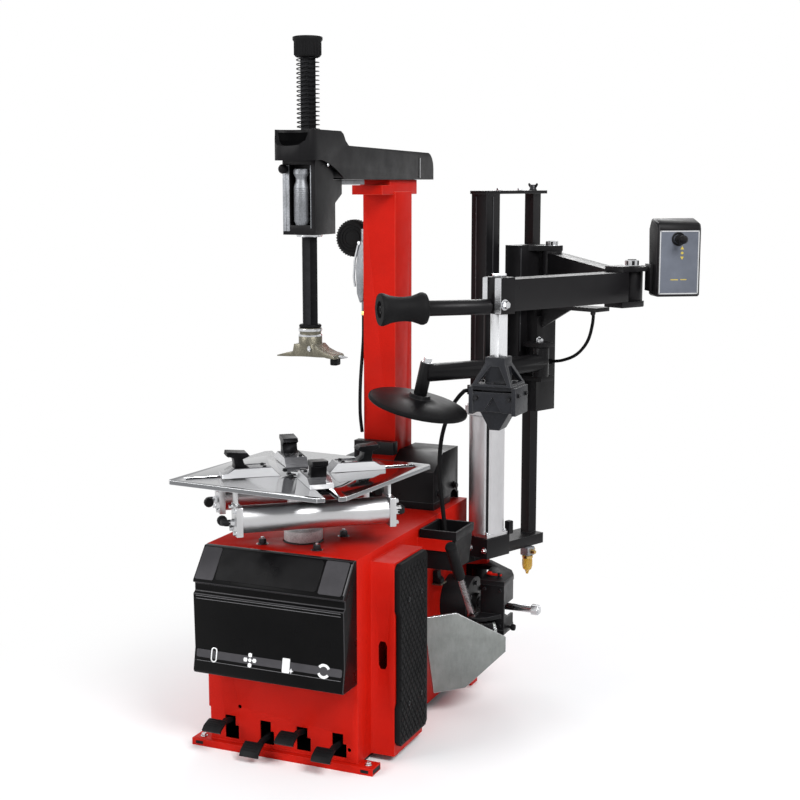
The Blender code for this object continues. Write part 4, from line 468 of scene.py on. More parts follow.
def cord(name, points, count, radius, under, body):
    """A hose as one smooth tube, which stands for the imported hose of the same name."""
    route, length = smooth_path(points, count)
    curve = bpy.data.curves.new(name, 'CURVE')
    curve.dimensions = '3D'
    curve.bevel_depth = radius * MM
    curve.bevel_resolution = 4
    curve.use_fill_caps = True
    spline = curve.splines.new('POLY')
    spline.points.add(len(route) - 1)
    for spot, place in zip(spline.points, route):
        spot.co = (*(under @ place), 1.0)
    spline.use_smooth = True
    curve.materials.append(RUBBER)
    obj = linked(name, curve)
    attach(obj, body)
    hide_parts(name.replace("_tube", ""))


cord("inflator_hose_tube", [(-12, 27, 1179.7), (-13, 26, 1100), (-9, -4, 980), (-7, -12, 880),
    (-8, 4, 815)], 18, 5.5, INFLATOR, "column")
cord("feed_hose_tube", [(253.1, 650, 950), (242, 621, 946), (222, 572, 900), (211, 522, 815),
    (228, 462, 715), (258, 415, 625), (283, 380, 540)], 22, 6.5, PLAN, "base")
cord("carriage_hose_tube", [(338, 112, -13.2), (337, 113, -45), (312, 122, -105), (258, 138, -152),
    (190, 154, -178), (131.2, 166, -188)], 18, 5, placed((0, 0, PLATE_Z), 0, STAND), "carriage")

# Screw heads as (radius, height) pairs, in shares of the head's size
CAP_SCREW = ((0, 0), (1.25, 0), (1.25, 0.12), (1.0, 0.14), (1.0, 0.85), (0.88, 1.0), (0.58, 1.0),
    (0.52, 0.55), (0, 0.5))
PAN_SCREW = ((0, 0), (1.0, 0), (1.0, 0.2), (0.8, 0.48), (0.4, 0.58), (0.34, 0.3), (0, 0.22))


def around(n):
    """The angles of a full turn in even steps."""
    return [2 * pi * i / n for i in range(n)]


class Shape:
    """One piece of the scene, made of solids that are written in a working frame's own coordinates."""
    made = []

    def __init__(self, name, body, look, under=PLAN, slot=None, smooth=35, round_by=0):
        self.bm = bmesh.new()
        self.under = under
        self.smooth = smooth
        self.obj = linked(name, bpy.data.meshes.new(name))
        self.obj.data.materials.append(look)
        if round_by:
            edge_round(self.obj, round_by)
        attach(self.obj, body)
        Shape.made.append(self)

    def spot(self, at, facing='+Z', spin=0):
        """The place of a small solid: a point, the way its own Z faces, and a spin about it."""
        return move(at) @ FACING[facing] @ spun(spin)

    def skin(self, rows):
        """Faces between neighbouring rows of points."""
        count = len(rows[0])
        for low, high in zip(rows, rows[1:]):
            for i in range(count):
                j = (i + 1) % count
                self.bm.faces.new((low[i], low[j], high[j], high[i]))

    def points(self, rings):
        return [[self.bm.verts.new(self.under @ Vector(p)) for p in ring] for ring in rings]

    def close(self, rings):
        """Skins rings of equal count into one solid, with a cap on each end."""
        rows = self.points(rings)
        self.skin(rows)
        self.bm.faces.new(list(reversed(rows[0])))
        self.bm.faces.new(rows[-1])

    def lathe(self, profile, at=(0, 0, 0), facing='+Z', n=28, place=None):
        """The rings of a turned form, from (radius, height) pairs."""
        place = place or self.spot(at, facing)
        return [[place @ Vector((r * cos(a), r * sin(a), z)) for a in around(n)] for r, z in profile]

    def turned(self, profile, *where, **how):
        """A turned solid whose profile starts and ends on its axis."""
        self.close(self.lathe(profile, *where, **how))

    def knob(self, profile, *where, **how):
        """A turned solid with flat ends."""
        self.turned([(0, profile[0][1]), *profile, (0, profile[-1][1])], *where, **how)

    def ring(self, profile, *where, **how):
        """A turned ring whose profile closes on itself."""
        rows = self.points(self.lathe(profile, *where, **how))
        self.skin(rows + rows[:1])

    def slab(self, outline, z0, z1, at=(0, 0, 0), facing='+Z', ease=0, place=None):
        """An outline pushed along its own Z, its rims eased back by a small chamfer."""
        place = place or self.spot(at, facing)
        mid = sum((Vector(p) for p in outline), Vector((0, 0))) / len(outline)
        levels = [(z0, ease), (z0 + ease, 0), (z1 - ease, 0), (z1, ease)] if ease else [(z0, 0), (z1, 0)]
        rings = []
        for z, inset in levels:
            flat = [Vector(p) - (Vector(p) - mid).normalized() * inset for p in outline]
            rings.append([place @ Vector((*p, z)) for p in flat])
        self.close(rings)

    def brick(self, lo, hi, ease=1):
        """A box between two corners."""
        (x0, y0, z0), (x1, y1, z1) = lo, hi
        self.slab([(x0, y0), (x1, y0), (x1, y1), (x0, y1)], z0, z1, ease=ease)

    def pipe(self, points, radius, n=12):
        """A round bar that follows points, with flat ends."""
        pts = [Vector(p) for p in points]
        side = (pts[1] - pts[0]).orthogonal().normalized()
        rings = []
        for i, p in enumerate(pts):
            way = (pts[min(i + 1, len(pts) - 1)] - pts[max(i - 1, 0)]).normalized()
            side = (side - way * side.dot(way)).normalized()
            other = way.cross(side)
            rings.append([p + side * radius * cos(a) + other * radius * sin(a) for a in around(n)])
        self.close(rings)

    def hex_bolt(self, at, facing, across, tall, spin=0):
        """Washer and a chamfered hexagon head with a shallow dish in its top."""
        place = self.spot(at, facing, spin)
        r = across / sqrt(3)
        self.knob([(r * 1.35, 0), (r * 1.38, tall * 0.08), (r * 1.3, tall * 0.16)], n=20, place=place)
        head = ((1, 0.16), (1, 0.84), (0.88, 1), (0.45, 1), (0.42, 0.94))
        self.close(self.lathe([(r * share, tall * z) for share, z in head], n=6, place=place))

    def socket_bolt(self, at, facing, radius, tall):
        """Cap screw: a flanged round head with an eased rim and a round socket."""
        self.turned([(radius * r, tall * z) for r, z in CAP_SCREW], at, facing, 18)

    def screw(self, at, facing, radius):
        """Pan-head screw with a round recess."""
        self.turned([(radius * r, radius * z) for r, z in PAN_SCREW], at, facing, 16)

    def finish(self):
        """Writes the collected solids into the piece's mesh."""
        bmesh.ops.remove_doubles(self.bm, verts=self.bm.verts[:], dist=1e-7)
        bmesh.ops.recalc_face_normals(self.bm, faces=self.bm.faces[:])
        mesh = self.obj.data
        self.bm.to_mesh(mesh)
        self.bm.free()
        for face in mesh.polygons:
            face.use_smooth = True
        mesh.set_sharp_from_angle(angle=radians(self.smooth))


def circle(cx, cy, r, n, start=0, stop=360):
    """Points spread evenly on a circle, or on an arc of it without its last point."""
    turns = [radians(start + (stop - start) * i / n) for i in range(n)]
    return [(cx + r * cos(a), cy + r * sin(a)) for a in turns]


# Return spring: one evenly wound wire
SPRING_R, WIRE, SPRING_CURLS, CURL_STEPS = 30.5, 3.4, 20, 20
SPRING_LOW, SPRING_TALL = HOUSE_CROWN + WIRE / 2 + 0.3, 238.3
spring = Shape("return_spring_wire", "arm", OXIDE)
coil = []
for i in range(SPRING_CURLS * CURL_STEPS + 1):
    turn = 2 * pi * i / CURL_STEPS
    rise = SPRING_TALL * i / (SPRING_CURLS * CURL_STEPS)
    coil.append((SPRING_R * cos(turn), SHAFT_Y + SPRING_R * sin(turn), SPRING_LOW + rise))
spring.pipe(coil, WIRE / 2, 8)
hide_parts("return_spring")
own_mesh(spring.obj)

# Shaft: fluted cap with its rim, the seal and hub rings, and the mount head's bolts
cap = Shape("shaft_cap_flutes", "shaft", RUBBER)
for x, y in circle(0, SHAFT_Y, 36.2, 24):
    cap.pipe([(x, y, CAP_LOW + z) for z in (6, 20, 40)], 1.7, 8)
cap.ring([(30, 54.5), (40.5, 53.5), (41.2, 51.5), (40, 50.5), (29, 51.5)], (0, SHAFT_Y, CAP_LOW))
seal = Shape("shaft_seal_ring", "shaft", RUBBER)
seal.ring([(27.5, 34.5), (30.6, 34.5), (31.4, 37.5), (30.6, 40.5), (27.5, 40.5)], (0, SHAFT_Y, HUB_Z))
rings = Shape("mount_hub_rings", "shaft", STEEL)
rings.ring([(29, 9), (33.4, 9), (33.4, 12.5), (31.2, 14.5), (29, 14.5)], (0, SHAFT_Y, HUB_Z))
rings.ring([(30, 23.5), (32.8, 23.5), (33.4, 26.5), (32.8, 30.5), (30, 30.5)], (0, SHAFT_Y, HUB_Z))
bolts = Shape("mount_head_bolts", "shaft", STEEL)
bolts.turned([(0, 0), (4.8, 0), (5, 6), (4, 12), (1.2, 26), (0, 27)], (89, SHAFT_Y, 1113.5), '+X', 16)
bolts.hex_bolt((12, SHAFT_Y - 27.5, 1136), '-Y', 11, 7)

# Arm cover: small screws, a near-black liner painted as the shade in the hand scoop, dark strips painted as
# the shade of the side slots, each with a bright line, and the slide plate below
trim = Shape("arm_cover_screws", "arm", STEEL)
for side, way in ((1, '+X'), (-1, '-X')):
    trim.screw((side * 61.8, 48.4, 1641), way, 4.8)
# Painted shade: a thin near-black liner over the back of the hand scoop stands for the shade in the hollow
SCOOP_X, SCOOP_Y, COVER_TOP = -6, SHAFT_Y - 105, 1735
SCOOP_WALL = [(55.5, -8), (55.5, -11.9), (49.5, -29.5), (33.5, -41), (4, -45)]
LINER = 0.4
section = SCOOP_WALL + [(r - LINER, z + LINER) for r, z in reversed(SCOOP_WALL)]
scoop_shade = Shape("arm_cover_scoop_shade", "arm", PAINTED_SHADE_BLACK)
scoop_shade.close([[(SCOOP_X + r * cos(a), SCOOP_Y + r * sin(a), COVER_TOP + z) for r, z in section]
    for a in (radians(12 + 8.5 * k) for k in range(17))])
# Painted shade: a dark gloss strip on each side of the cover stands for the shade in the slot
slot_shade = Shape("arm_cover_slot", "arm", GLOSS)
for x0, x1 in ((61.2, 62.7), (-62.7, -61.2)):
    slot_shade.brick((x0, 694.5, 1606.8), (x1, 707.5, 1672), 0.3)
line = Shape("arm_cover_slot_line", "arm", STEEL)
for x0, x1 in ((61.4, 63.1), (-63.1, -61.4)):
    line.brick((x0, 699.6, 1607.2), (x1, 703, 1669), 0.3)
Shape("arm_slide_plate", "arm", GREY).brick((-40, 161.5, 1587.4), (40, 332, 1601.6), 1.2)

# Lock housing: collar under it, cheek strips and the ribs of the air lock cylinder
collar = Shape("lock_housing_edges", "arm", STEEL)
collar.ring([(25, -7), (34.5, -7), (36, -5), (36, 0.4), (25, 0.4)], (0, SHAFT_Y, 1452))
cheek = Shape("lock_housing_cheek", "arm", GREY)
cheek.brick((35.2, -6.4, 1470), (37.2, -4.8, 1640), 0.4)
cheek.brick((-49.2, -6.6, 1462), (-39.5, -4.8, 1640), 0.5)
cheek.brick((-38.5, -6.6, 1462), (-29, -4.8, 1640), 0.5)
LOCK_AXIS, LOCK_R, RIB_LOW, RIB_STEP = (3, 5, 0), 20.5, 1490.3, 5.4
ribs = Shape("lock_cylinder_ribs", "arm", GREY)
for i in range(17):
    z = RIB_LOW + i * RIB_STEP
    ribs.ring([(LOCK_R, z), (21.7, z + 0.8), (21.7, z + 2), (LOCK_R, z + 2.8)], LOCK_AXIS, n=24)
ribs.ring([(LOCK_R, 1616), (22.2, 1617), (22.2, 1627), (LOCK_R, 1628)], LOCK_AXIS, n=24)

# Front panel: grained band ends, glossy bare inlay, ridge lines painted light grey as a painted highlight,
# grey strip and generic pedal signs
PANEL_F = CAB_FRONT - 0.3


def tilted(origin, up):
    """A place whose X runs across the machine, Y up a sloped front face, and Z off that face."""
    up = Vector(up).normalized()
    across = Vector((1, 0, 0))
    return move(origin) @ Matrix((across, up, across.cross(up))).transposed().to_4x4()


def plate(x0, x1, y0, y1, corner=4):
    """A rectangle with eased corners, as an outline."""
    return [(x0 + corner, y0), (x1 - corner, y0), (x1, y0 + corner), (x1, y1 - corner), (x1 - corner, y1),
        (x0 + corner, y1), (x0, y1 - corner), (x0, y0 + corner)]


BAND = tilted((0, PANEL_F - 49, CAB_TOP - 42), (0, 66, 84))
FLARE = tilted((0, PANEL_F - 78, 316), (0, 12, 62))
ends = Shape("panel_band_ends", "base", GRAINED)
for x0, x1 in ((-227, -169), (152, 222)):
    ends.slab(plate(x0, x1, -49, 49), -0.5, 1.2, place=BAND, ease=0.6)
Shape("panel_bare_inlay", "base", GLOSS).slab(plate(-164, 147, -46, 46, 6), -0.5, 1.8, place=BAND, ease=0.8)
# Painted highlight: the ridge lines are light grey on the near-black panel, for the light that they catch
ridge_highlights = Shape("panel_ridge_highlights", "base", RIDGE_HIGHLIGHT)
FACE_UP = tilted((0, PANEL_F - 82, CAB_TOP - 122), (0, -4, 156))
for drop in (4, 12):
    ridge_highlights.slab(plate(-222, 222, -drop - 1.5, -drop, 0.6), -0.8, 1.2, place=FACE_UP, ease=0.4)
ridge_highlights.slab(plate(-222, 222, -35, -33.6, 0.6), -0.8, 1.2, place=FLARE, ease=0.4)
ridge_highlights.slab(plate(226.5, 229, -46, 46, 1), -0.8, 1.4, place=BAND, ease=0.4)
strip = Shape("panel_sign_strip", "base", GRAINED)
strip.slab(plate(-224, 224, -25, -3, 3), -0.6, 0.8, place=FLARE, ease=0.4)
signs = Shape("panel_pedal_signs", "base", WHITE)
SIGN = FLARE @ move((0, -14, 0.8))
SIGN_SCALE = 1.2


def sign(outline, at):
    signs.slab([(at + x * SIGN_SCALE, y * SIGN_SCALE) for x, y in outline], -0.3, 0.5, place=SIGN)


def band(points, wide):
    """A ribbon outline of even width along a line of points."""
    left, right = [], []
    for i, p in enumerate(points):
        way = (Vector(points[min(i + 1, len(points) - 1)]) - Vector(points[max(i - 1, 0)])).normalized()
        side = Vector((-way.y, way.x)) * wide / 2
        left.append(tuple(Vector(p) + side))
        right.append(tuple(Vector(p) - side))
    return left + right[::-1]


PEDAL_X = (-168, -55, 60, 170)
for up in (-1, 1):
    arc = [(6.5 * cos(a), up * (9.5 + 6.5 * sin(a))) for a in map(radians, range(0, 181, 20))]
    sign(band(arc, 2.8), PEDAL_X[0])
    sign(band([(up * 6.5, -9.5), (up * 6.5, 9.5)], 2.8), PEDAL_X[0])
for turn in range(4):
    a = radians(90 * turn)
    petal = [(6, 0), (8.5, 4.5), (15, 4.5), (16.8, 0), (15, -4.5), (8.5, -4.5)]
    sign([(x * cos(a) - y * sin(a), x * sin(a) + y * cos(a)) for x, y in petal], PEDAL_X[1])
sign(circle(0, 0, 4.2, 12), PEDAL_X[1])
sign(plate(-12.5, 6.5, -16.5, 16.5, 1.5), PEDAL_X[2])
star = zip(around(8), (6.2, 2.6) * 4)
sign([(10.5 + r * cos(a), -10.5 + r * sin(a)) for a, r in star], PEDAL_X[2])
for turn in (0, 180):
    arc = [(13.5 * cos(a), 13.5 * sin(a)) for a in map(radians, range(turn + 25, turn + 150, 12))]
    sign(band(arc, 6), PEDAL_X[3])

# Cabinet: gearbox bolts through the top, side screws, edge welds, and the small plates at its rear and foot
GEAR_BOLTS = list(product((-85, 85), repeat=2))
bolts = Shape("cabinet_bolts", "base", DARK)
for x, y in GEAR_BOLTS:
    bolts.hex_bolt((x, y, CAB_TOP), '+Z', 19, 16, 15)
for z, y in product((160, 360, 540), (-95, 585)):
    bolts.screw((-CAB_HALF - 26, y, z), '-X', 5.5)
studs = Shape("cabinet_stud_ends", "base", STEEL)
for x, y in GEAR_BOLTS:
    studs.knob([(5, 15), (5.2, 20), (4.4, 21.2)], (x, y, CAB_TOP), n=14)
    studs.ring([(12.5, 0), (16.5, 0), (16.8, 1.2), (12.5, 1.4)], (x, y, CAB_TOP), n=20)
welds = Shape("cabinet_weld_beads", "base", RED)
for y, step in ((CAB_FRONT, -1), (CAB_BACK, 1)):
    welds.pipe([(-228 + i * 7.6, y + step * 1.2, 21.5 + 0.6 * (i % 2)) for i in range(61)], 3, 8)

lug = Shape("cabinet_side_lug", "base", IRON)
lug.slab([(233, 389.5), (261, 389.5), (259, 401), (250, 408), (247, 426), (233, 426)], -428, -400,
    facing='-Y', ease=1)
Shape("cabinet_lug_foot", "base", HEAD_IRON).brick((232.5, 392, 385), (264, 436, 389.4), 0.8)
Shape("breaker_back_plate", "base", IRON).brick((220, 690.5, 318), (274, 694.5, 404), 0.8)
# A tray that closes the inside of the cabinet; its black is painted shade for what shows through the pedal
# slots
shade_tray = Shape("cabinet_inner_tray", "base", IRON)
shade_tray.slab([(-125, 1.5), (52, 1.5), (52, 170), (49, 170), (49, 4.5), (-125, 4.5)], -222, 222, place=SIDEWAYS)
for side in (-1, 1):
    shade_tray.brick((side * 220.5 - 1.5, -125, 4.5), (side * 220.5 + 1.5, 49, 170), 0.4)

# Wheel pad: diamond studs and the screws that hold it
PAD_FACE, PAD_Y0, PAD_LONG, PAD_Z0, PAD_TALL = 318.3, -50, 200, 46, 520
studs = Shape("wheel_pad_diamonds", "base", RUBBER, smooth=20)
PITCH_Y, PITCH_Z = 22.5, 30
LOZENGE = ((-12.5, 0), (0, -9.2), (12.5, 0), (0, 9.2))
# Height over the pad and share of the full size, at each level of a stud
STUD = ((-0.5, 1), (2.2, 0.78), (2.6, 0.66))
for row, col in product(range(33), range(9)):
    y = PAD_Y0 + 14.5 + col * PITCH_Y + (PITCH_Y / 2 if row % 2 else 0)
    z = PAD_Z0 + 18 + row * PITCH_Z / 2
    if y <= PAD_Y0 + PAD_LONG - 14 and z <= PAD_Z0 + PAD_TALL - 16:
        studs.close([[(PAD_FACE + h, y + b * k, z + a * k) for a, b in LOZENGE] for h, k in STUD])
screws = Shape("wheel_pad_screws", "base", DARK)
for y, z in product((60, 150), (110, 410)):
    screws.socket_bolt((PAD_FACE, PAD_Y0 + y, PAD_Z0 + z), '+X', 7, 4.2)

# Turntable: slot lips, edge tips, the centre cap and its bolts
lips = Shape("turntable_lips", "table", LAND, TABLE)
LIP_Z = TABLE_TOP - 1
for side, up in product((-1, 1), repeat=2):
    lips.pipe([(side * 240, up * 19.2, LIP_Z), (side * 332, up * 19.2, LIP_Z)], 1.2, 8)
    lips.pipe([(up * 19.2, side * 250, LIP_Z), (up * 19.2, side * 335, LIP_Z)], 1.2, 8)
    near, far = sorted((up * 19, up * 38.5))
    lips.brick((near, side * 334 - 4, TABLE_TOP - 10.5), (far, side * 334 + 5.8, TABLE_TOP - 0.8), 1)
lips.knob([(34, 0), (34, 1.6), (31, 3), (14, 3), (12, 1.2)], (0, 0, TABLE_TOP), n=36)
centre = Shape("turntable_bolts", "table", DARK, TABLE)
centre.hex_bolt((0, 0, TABLE_TOP + 1.2), '+Z', 17, 9, 10)
for x, y in circle(0, 0, 60, 4, 45, 405):
    centre.socket_bolt((x, y, TABLE_TOP), '+Z', 6, 5)

# Clamp cylinders: tie bolts, end ports and elbow fittings
CLAMP_Z, CLAMP_END = TABLE_TOP - 90, 221
ELBOW = ((12, 6), (21, 6), (26, 3), (28, -4), (28, -18))
bolts = Shape("clamp_tie_bolts", "table", STEEL, TABLE)
ports = Shape("clamp_port_nuts", "table", STEEL, TABLE)
elbows = Shape("clamp_elbows", "table", IRON, TABLE)
for sy, (sx, way) in product((-1, 1), ((-1, '-X'), (1, '+X'))):
    cy = sy * 140
    for dy, dz in product((-30, 30), repeat=2):
        bolts.hex_bolt((sx * CLAMP_END, cy + dy, CLAMP_Z + dz), way, 10.5, 8)
    nut = [(11, 0), (11, 6), (9.2, 9), (9.2, 16)]
    ports.knob(nut, (sx * CLAMP_END, cy + sy * 6, CLAMP_Z - 6), way, 6)
    bend = [(sx * (CLAMP_END + out), cy + sy * across, CLAMP_Z - 6) for out, across in ELBOW]
    elbows.pipe(bend, 9, 12)
    elbows.knob([(12.5, 0), (14, 3), (14, 12), (10.5, 16)], bend[-1], '+Y' if sy < 0 else '-Y', 12)

# Jaws: wedge saddles over the slides, serrated claw lips and clamp screws
TOOTH = ((211, 16), (218.5, 11.5), (217, 0.2), (208, 0.2))
SADDLE_SIDE = [(70.5, 0.3), (232.5, 0.3), (232.5, 12.5), (218, 13.5), (199.5, 25), (93, 25)]
for index, letter in enumerate("abcd"):
    quarter = placed((0, 0, 0), 90 * index, TABLE)
    saddle = Shape(f"jaw_{letter}_saddle", f"jaw_{letter}", SADDLE, quarter)
    saddle.slab([(x, TABLE_TOP + z) for x, z in SADDLE_SIDE], -32.8, 32.8, facing='-Y', ease=1)
    teeth = Shape(f"jaw_{letter}_teeth", f"jaw_{letter}", OXIDE, quarter)
    for i in range(7):
        y = -18.6 + i * 6.2
        teeth.slab([(x, CLAW_TOP - drop) for x, drop in TOOTH], -y - 2, -y + 2, facing='-Y', ease=0.5)
    trim = Shape(f"jaw_{letter}_slide_trim", f"jaw_{letter}", DARK, quarter)
    for sy in (-1, 1):
        trim.pipe([(100, sy * 28.5, SADDLE_TOP), (192, sy * 28.5, SADDLE_TOP)], 1.6, 8)
        trim.socket_bolt((112, sy * 18, SADDLE_TOP), '+Z', 5, 4.5)

# Pedals: a lever on the axle and a short lipped pad, in place of the source's longer one, and grip ridges
AXLE_Y, AXLE_Z, AXLE_R = 20, 85, 8
REACH = CAB_FRONT - AXLE_Y
PEDAL_DROP = (0, 14, 0, 8)  # degrees, as photographed
PAD_SIDE = [(-88, -6), (-82, -12), (-77, -4), (-52, 7), (-44, 8.5), (-44, 14.5), (-54, 13.5), (-78, 5)]
LEVER_SIDE = [(REACH - 52, 1), (REACH + 20, -9), (-12, -11), (-12, 12), (REACH + 18, 3), (REACH - 26, 13),
    (REACH - 54, 9)]
BOSS = [(AXLE_R + 0.3, -14), (AXLE_R + 7, -14), (AXLE_R + 7, 14), (AXLE_R + 0.3, 14)]
for index, (px, drop) in enumerate(zip(PEDAL_X, PEDAL_DROP)):
    letter = "abcd"[index]
    hinge = PLAN @ move((px, AXLE_Y, AXLE_Z)) @ spun(drop, 'X')
    pedal = Shape(f"pedal_{letter}_lever", f"pedal_{letter}", PLASTIC, hinge, round_by=0.8)
    pedal.slab([(REACH + y, z) for y, z in PAD_SIDE], -42, 16, place=SIDEWAYS, ease=0.8)
    pedal.slab(LEVER_SIDE, -6, 6, place=SIDEWAYS)
    pedal.ring(BOSS, facing='+X', n=20)
    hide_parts(f"pedal_{index + 1}")
    grip = Shape(f"pedal_grip_{letter}", f"pedal_{letter}", RUBBER, hinge @ move((-13, 0, 0)),
        slot="black_plastic")
    for k in range(4):
        y, z = REACH - 75 + k * 8, 5.9 + k * 8 * 0.35
        grip.pipe([(-24, y, z), (-20, y, z + 0.6), (20, y, z + 0.6), (24, y, z)], 0.9, 8)

# Front floor rail: anchor bolts over its holes, and thin black slabs painted as the shade in the slots of
# its face and in its open ends
RAIL_END, RAIL_FACE, RAIL_TOP = 284, CAB_FRONT - 20, 20
HOLE_IN, HOLE_BACK = 24, 27
anchors = Shape("rail_anchor_bolts", "base", STEEL)
# Painted shade: a thin black slab on the rail face over each slot, and one over each open end
rail_slot_shades = Shape("rail_slot_shades_piece", "base", IRON)
for side in (-1, 1):
    anchors.hex_bolt((side * (RAIL_END - HOLE_IN), RAIL_FACE + HOLE_BACK, RAIL_TOP), '+Z', 13, 8, 15)
    rail_slot_shades.slab(plate(-12, 12, -4.5, 4.5, 1), -0.5, 0.3,
        at=(side * (RAIL_END - HOLE_IN), RAIL_FACE, RAIL_TOP / 2), facing='-Y')
    near, far = sorted((side * (RAIL_END - 0.5), side * (RAIL_END + 0.3)))
    rail_slot_shades.slab(plate(RAIL_FACE + 4, RAIL_FACE + 50, 3.5, 16.5, 1.2), near, far, place=SIDEWAYS)

# Column base bolts
bolts = Shape("column_base_bolts", "base", DARK)
for y in (510, 655):
    bolts.hex_bolt((202.6, y, 640), '+X', 16, 10)
    bolts.hex_bolt((-137.6, y, 640), '-X', 16, 10)

# Inflator: boot ribs, dial on the far face, brass union and trigger
GAUGE_X, GAUGE_Z = -60, 1420
boot = Shape("gauge_boot_ribs", "column", RUBBER, INFLATOR)
for x, z in circle(GAUGE_X, GAUGE_Z, 56.2, 40):
    boot.pipe([(x, y, z) for y in (52, 66, 80)], 2.2, 8)
for r in (46, 36, 26):
    rib = [(r - 3, 0), (r + 3, 0), (r + 2, 2.2), (r - 2, 2.2)]
    boot.ring(rib, (GAUGE_X, 46.2, GAUGE_Z), '-Y', 40)
dial = Shape("gauge_dial", "column", WHITE, INFLATOR, slot="grey_metal")
dial.knob([(46, 0), (46, 1.2)], (GAUGE_X, 85.8, GAUGE_Z), '+Y', 40)
ticks = Shape("gauge_marks", "column", PLASTIC, INFLATOR)
for k in range(25):
    a = radians(-40 + 260 * k / 24)
    inner = 34 if k % 4 == 0 else 38
    ticks.pipe([(GAUGE_X + r * cos(a), 87.2, GAUGE_Z + r * sin(a)) for r in (inner, 43)], 0.6, 6)
ticks.pipe([(GAUGE_X + x, 88.2, GAUGE_Z + z) for x, z in ((10, -6), (-30, 16))], 1, 6)
ticks.turned([(0, 0), (4, 0), (3.6, 3), (0, 3.4)], (GAUGE_X, 86.8, GAUGE_Z), '+Y', 16)
bezel = Shape("gauge_bezel", "column", STEEL, INFLATOR)
bezel.ring([(45, 0), (52, 0), (52, 3.4), (49, 5.2), (45, 4)], (GAUGE_X, 85, GAUGE_Z), '+Y', 44)
union = Shape("gauge_brass_union", "column", BRASS, INFLATOR)
UNION = [(0, 0), (8.5, 0), (9, 3), (9, 12), (7, 15), (7, 30), (8.8, 33), (8.8, 42), (0, 44)]
union.turned(UNION, (-9, 64, 1468), n=6)
union.knob([(7.8, 0), (7.8, 10), (6.2, 13)], (-12, 27, 1182), n=6)
trigger = Shape("inflator_trigger", "column", STEEL, INFLATOR)
TRIGGER = ((-20, 1412), (-30, 1398), (-42, 1350), (-45, 1300), (-41, 1270))
trigger.pipe([(x, 27, z) for x, z in TRIGGER], 3.8, 10)
trigger.knob([(5.2, -17), (5.8, -14), (5.8, 14), (5.2, 17)], (-20, 27, 1408), '+Y', 14)

# Stand: slot lines, wing nut and bolts
stand = Shape("stand_slot_lines", "base", BLACK_EDGE, STAND)
stand.brick((-13, -32.2, 995), (-9.5, -30.6, 1550), 0.4)
stand.brick((30.6, -2, 560), (32.2, 1, 1550), 0.4)
nut = Shape("stand_wing_nut", "base", DARK, STAND)
nut.knob([(12, 0), (12.5, 2), (10.5, 5), (9.5, 14), (7, 18)], (0, POST_OFF, STAND_TOP + 8), '+Z', 18)
for side in (-1, 1):
    wing = [(5, 3), (11, 7), (18, 15), (19, 21), (16, 23), (10, 18), (5, 11)]
    nut.slab([(side * x, z) for x, z in wing], -2.8, 2.8, (0, POST_OFF, STAND_TOP + 8), '-Y', 1.2)
bolts = Shape("stand_bolts", "base", STEEL, STAND)
for x in (69, 128):
    bolts.hex_bolt((x, LIFT_Y - 52, 472), '-Y', 12.5, 8)
for y in (60, 160):
    bolts.hex_bolt((0, y, STAND_TOP + 8), '+Z', 13, 8)

# Lift cylinder: rounded flanks, black strips painted as the shade in the corner channels, flange screws, rod
# wiper and air valve
flanks = Shape("lift_cylinder_flanks", "base", ALU, LIFT, smooth=20)
BOW = radians(40)  # half the arc that a flank bulges by
bow = [(31 * sin(a) / sin(BOW), 9 * (cos(a) - cos(BOW)) / (1 - cos(BOW)))
    for a in map(radians, range(-40, 41, 8))]
bow = [(-31, -2), *bow, (31, -2)]
TUBE = (LIFT_LOW + 12.5, LIFT_TOP - 24.2)
# Painted shade: a black strip at each corner stands for the shade in the channel there
channel_shades = Shape("lift_cylinder_channel_shades", "base", IRON, LIFT)
channel_shade_outline = [(-5, -1), (-3.5, 0.6), (3.5, 0.6), (5, -1)]
for k in range(4):
    flanks.slab(bow, *TUBE, place=spun(90 * k) @ move((0, 45.5, 0)))
    channel_shades.slab(channel_shade_outline, *TUBE, place=spun(90 * k + 45) @ move((0, 53.8, 0)))
bolts = Shape("lift_cylinder_bolts", "base", STEEL, LIFT)
for x, y in product((-1, 1), repeat=2):
    bolts.socket_bolt((x * 41, y * 41, LIFT_LOW + 12), '+Z', 5.6, 7)
    bolts.socket_bolt((x * 39, y * 39, LIFT_TOP + 4), '+Z', 5.6, 6)
bolts.ring([(13, 0), (22, 0), (21.5, 6), (17.5, 9), (13, 9)], (0, 0, LIFT_TOP + 4))
air_valve = Shape("lift_air_valve", "base", PLASTIC, STAND)
air_valve.brick((122, -33.5, LIFT_LOW), (140, -14.5, LIFT_LOW + 41), 2)

# Bead breaker: cylinder cap bolts, lever grip, valve lever, arm bolts and knob
bolts = Shape("bead_cylinder_bolts", "base", DARK)
BC_OUT, BREAK_Y, BREAK_Z = 317, 540, 300
for y, z in circle(BREAK_Y, BREAK_Z, 62, 6, 30, 390):
    bolts.hex_bolt((BC_OUT, y, z), '+X', 13, 9)
bolts.ring([(11, 0), (20, 0), (19.5, 4), (15, 7), (11.2, 7)], (BC_OUT + 16, BREAK_Y, BREAK_Z), '+X', 24)
FOOT, TOP = Vector((356, BREAK_Y - 128, 294.3)), Vector((374, 190, 562))
way = (TOP - FOOT).normalized()
grip_place = move(FOOT) @ way.to_track_quat('Z', 'Y').to_matrix().to_4x4()
LONG = (TOP - FOOT).length
profile = [(0, 0.59 * LONG), (13.2, 0.59 * LONG), (15.8, 0.6 * LONG)]
for k in range(9):
    z = (0.62 + 0.038 * k) * LONG
    profile += [(16.8, z), (15.6, z + 6)]
profile += [(17, 0.985 * LONG), (17.2, 1.015 * LONG), (15, 1.036 * LONG), (8, 1.044 * LONG),
    (0, 1.045 * LONG)]
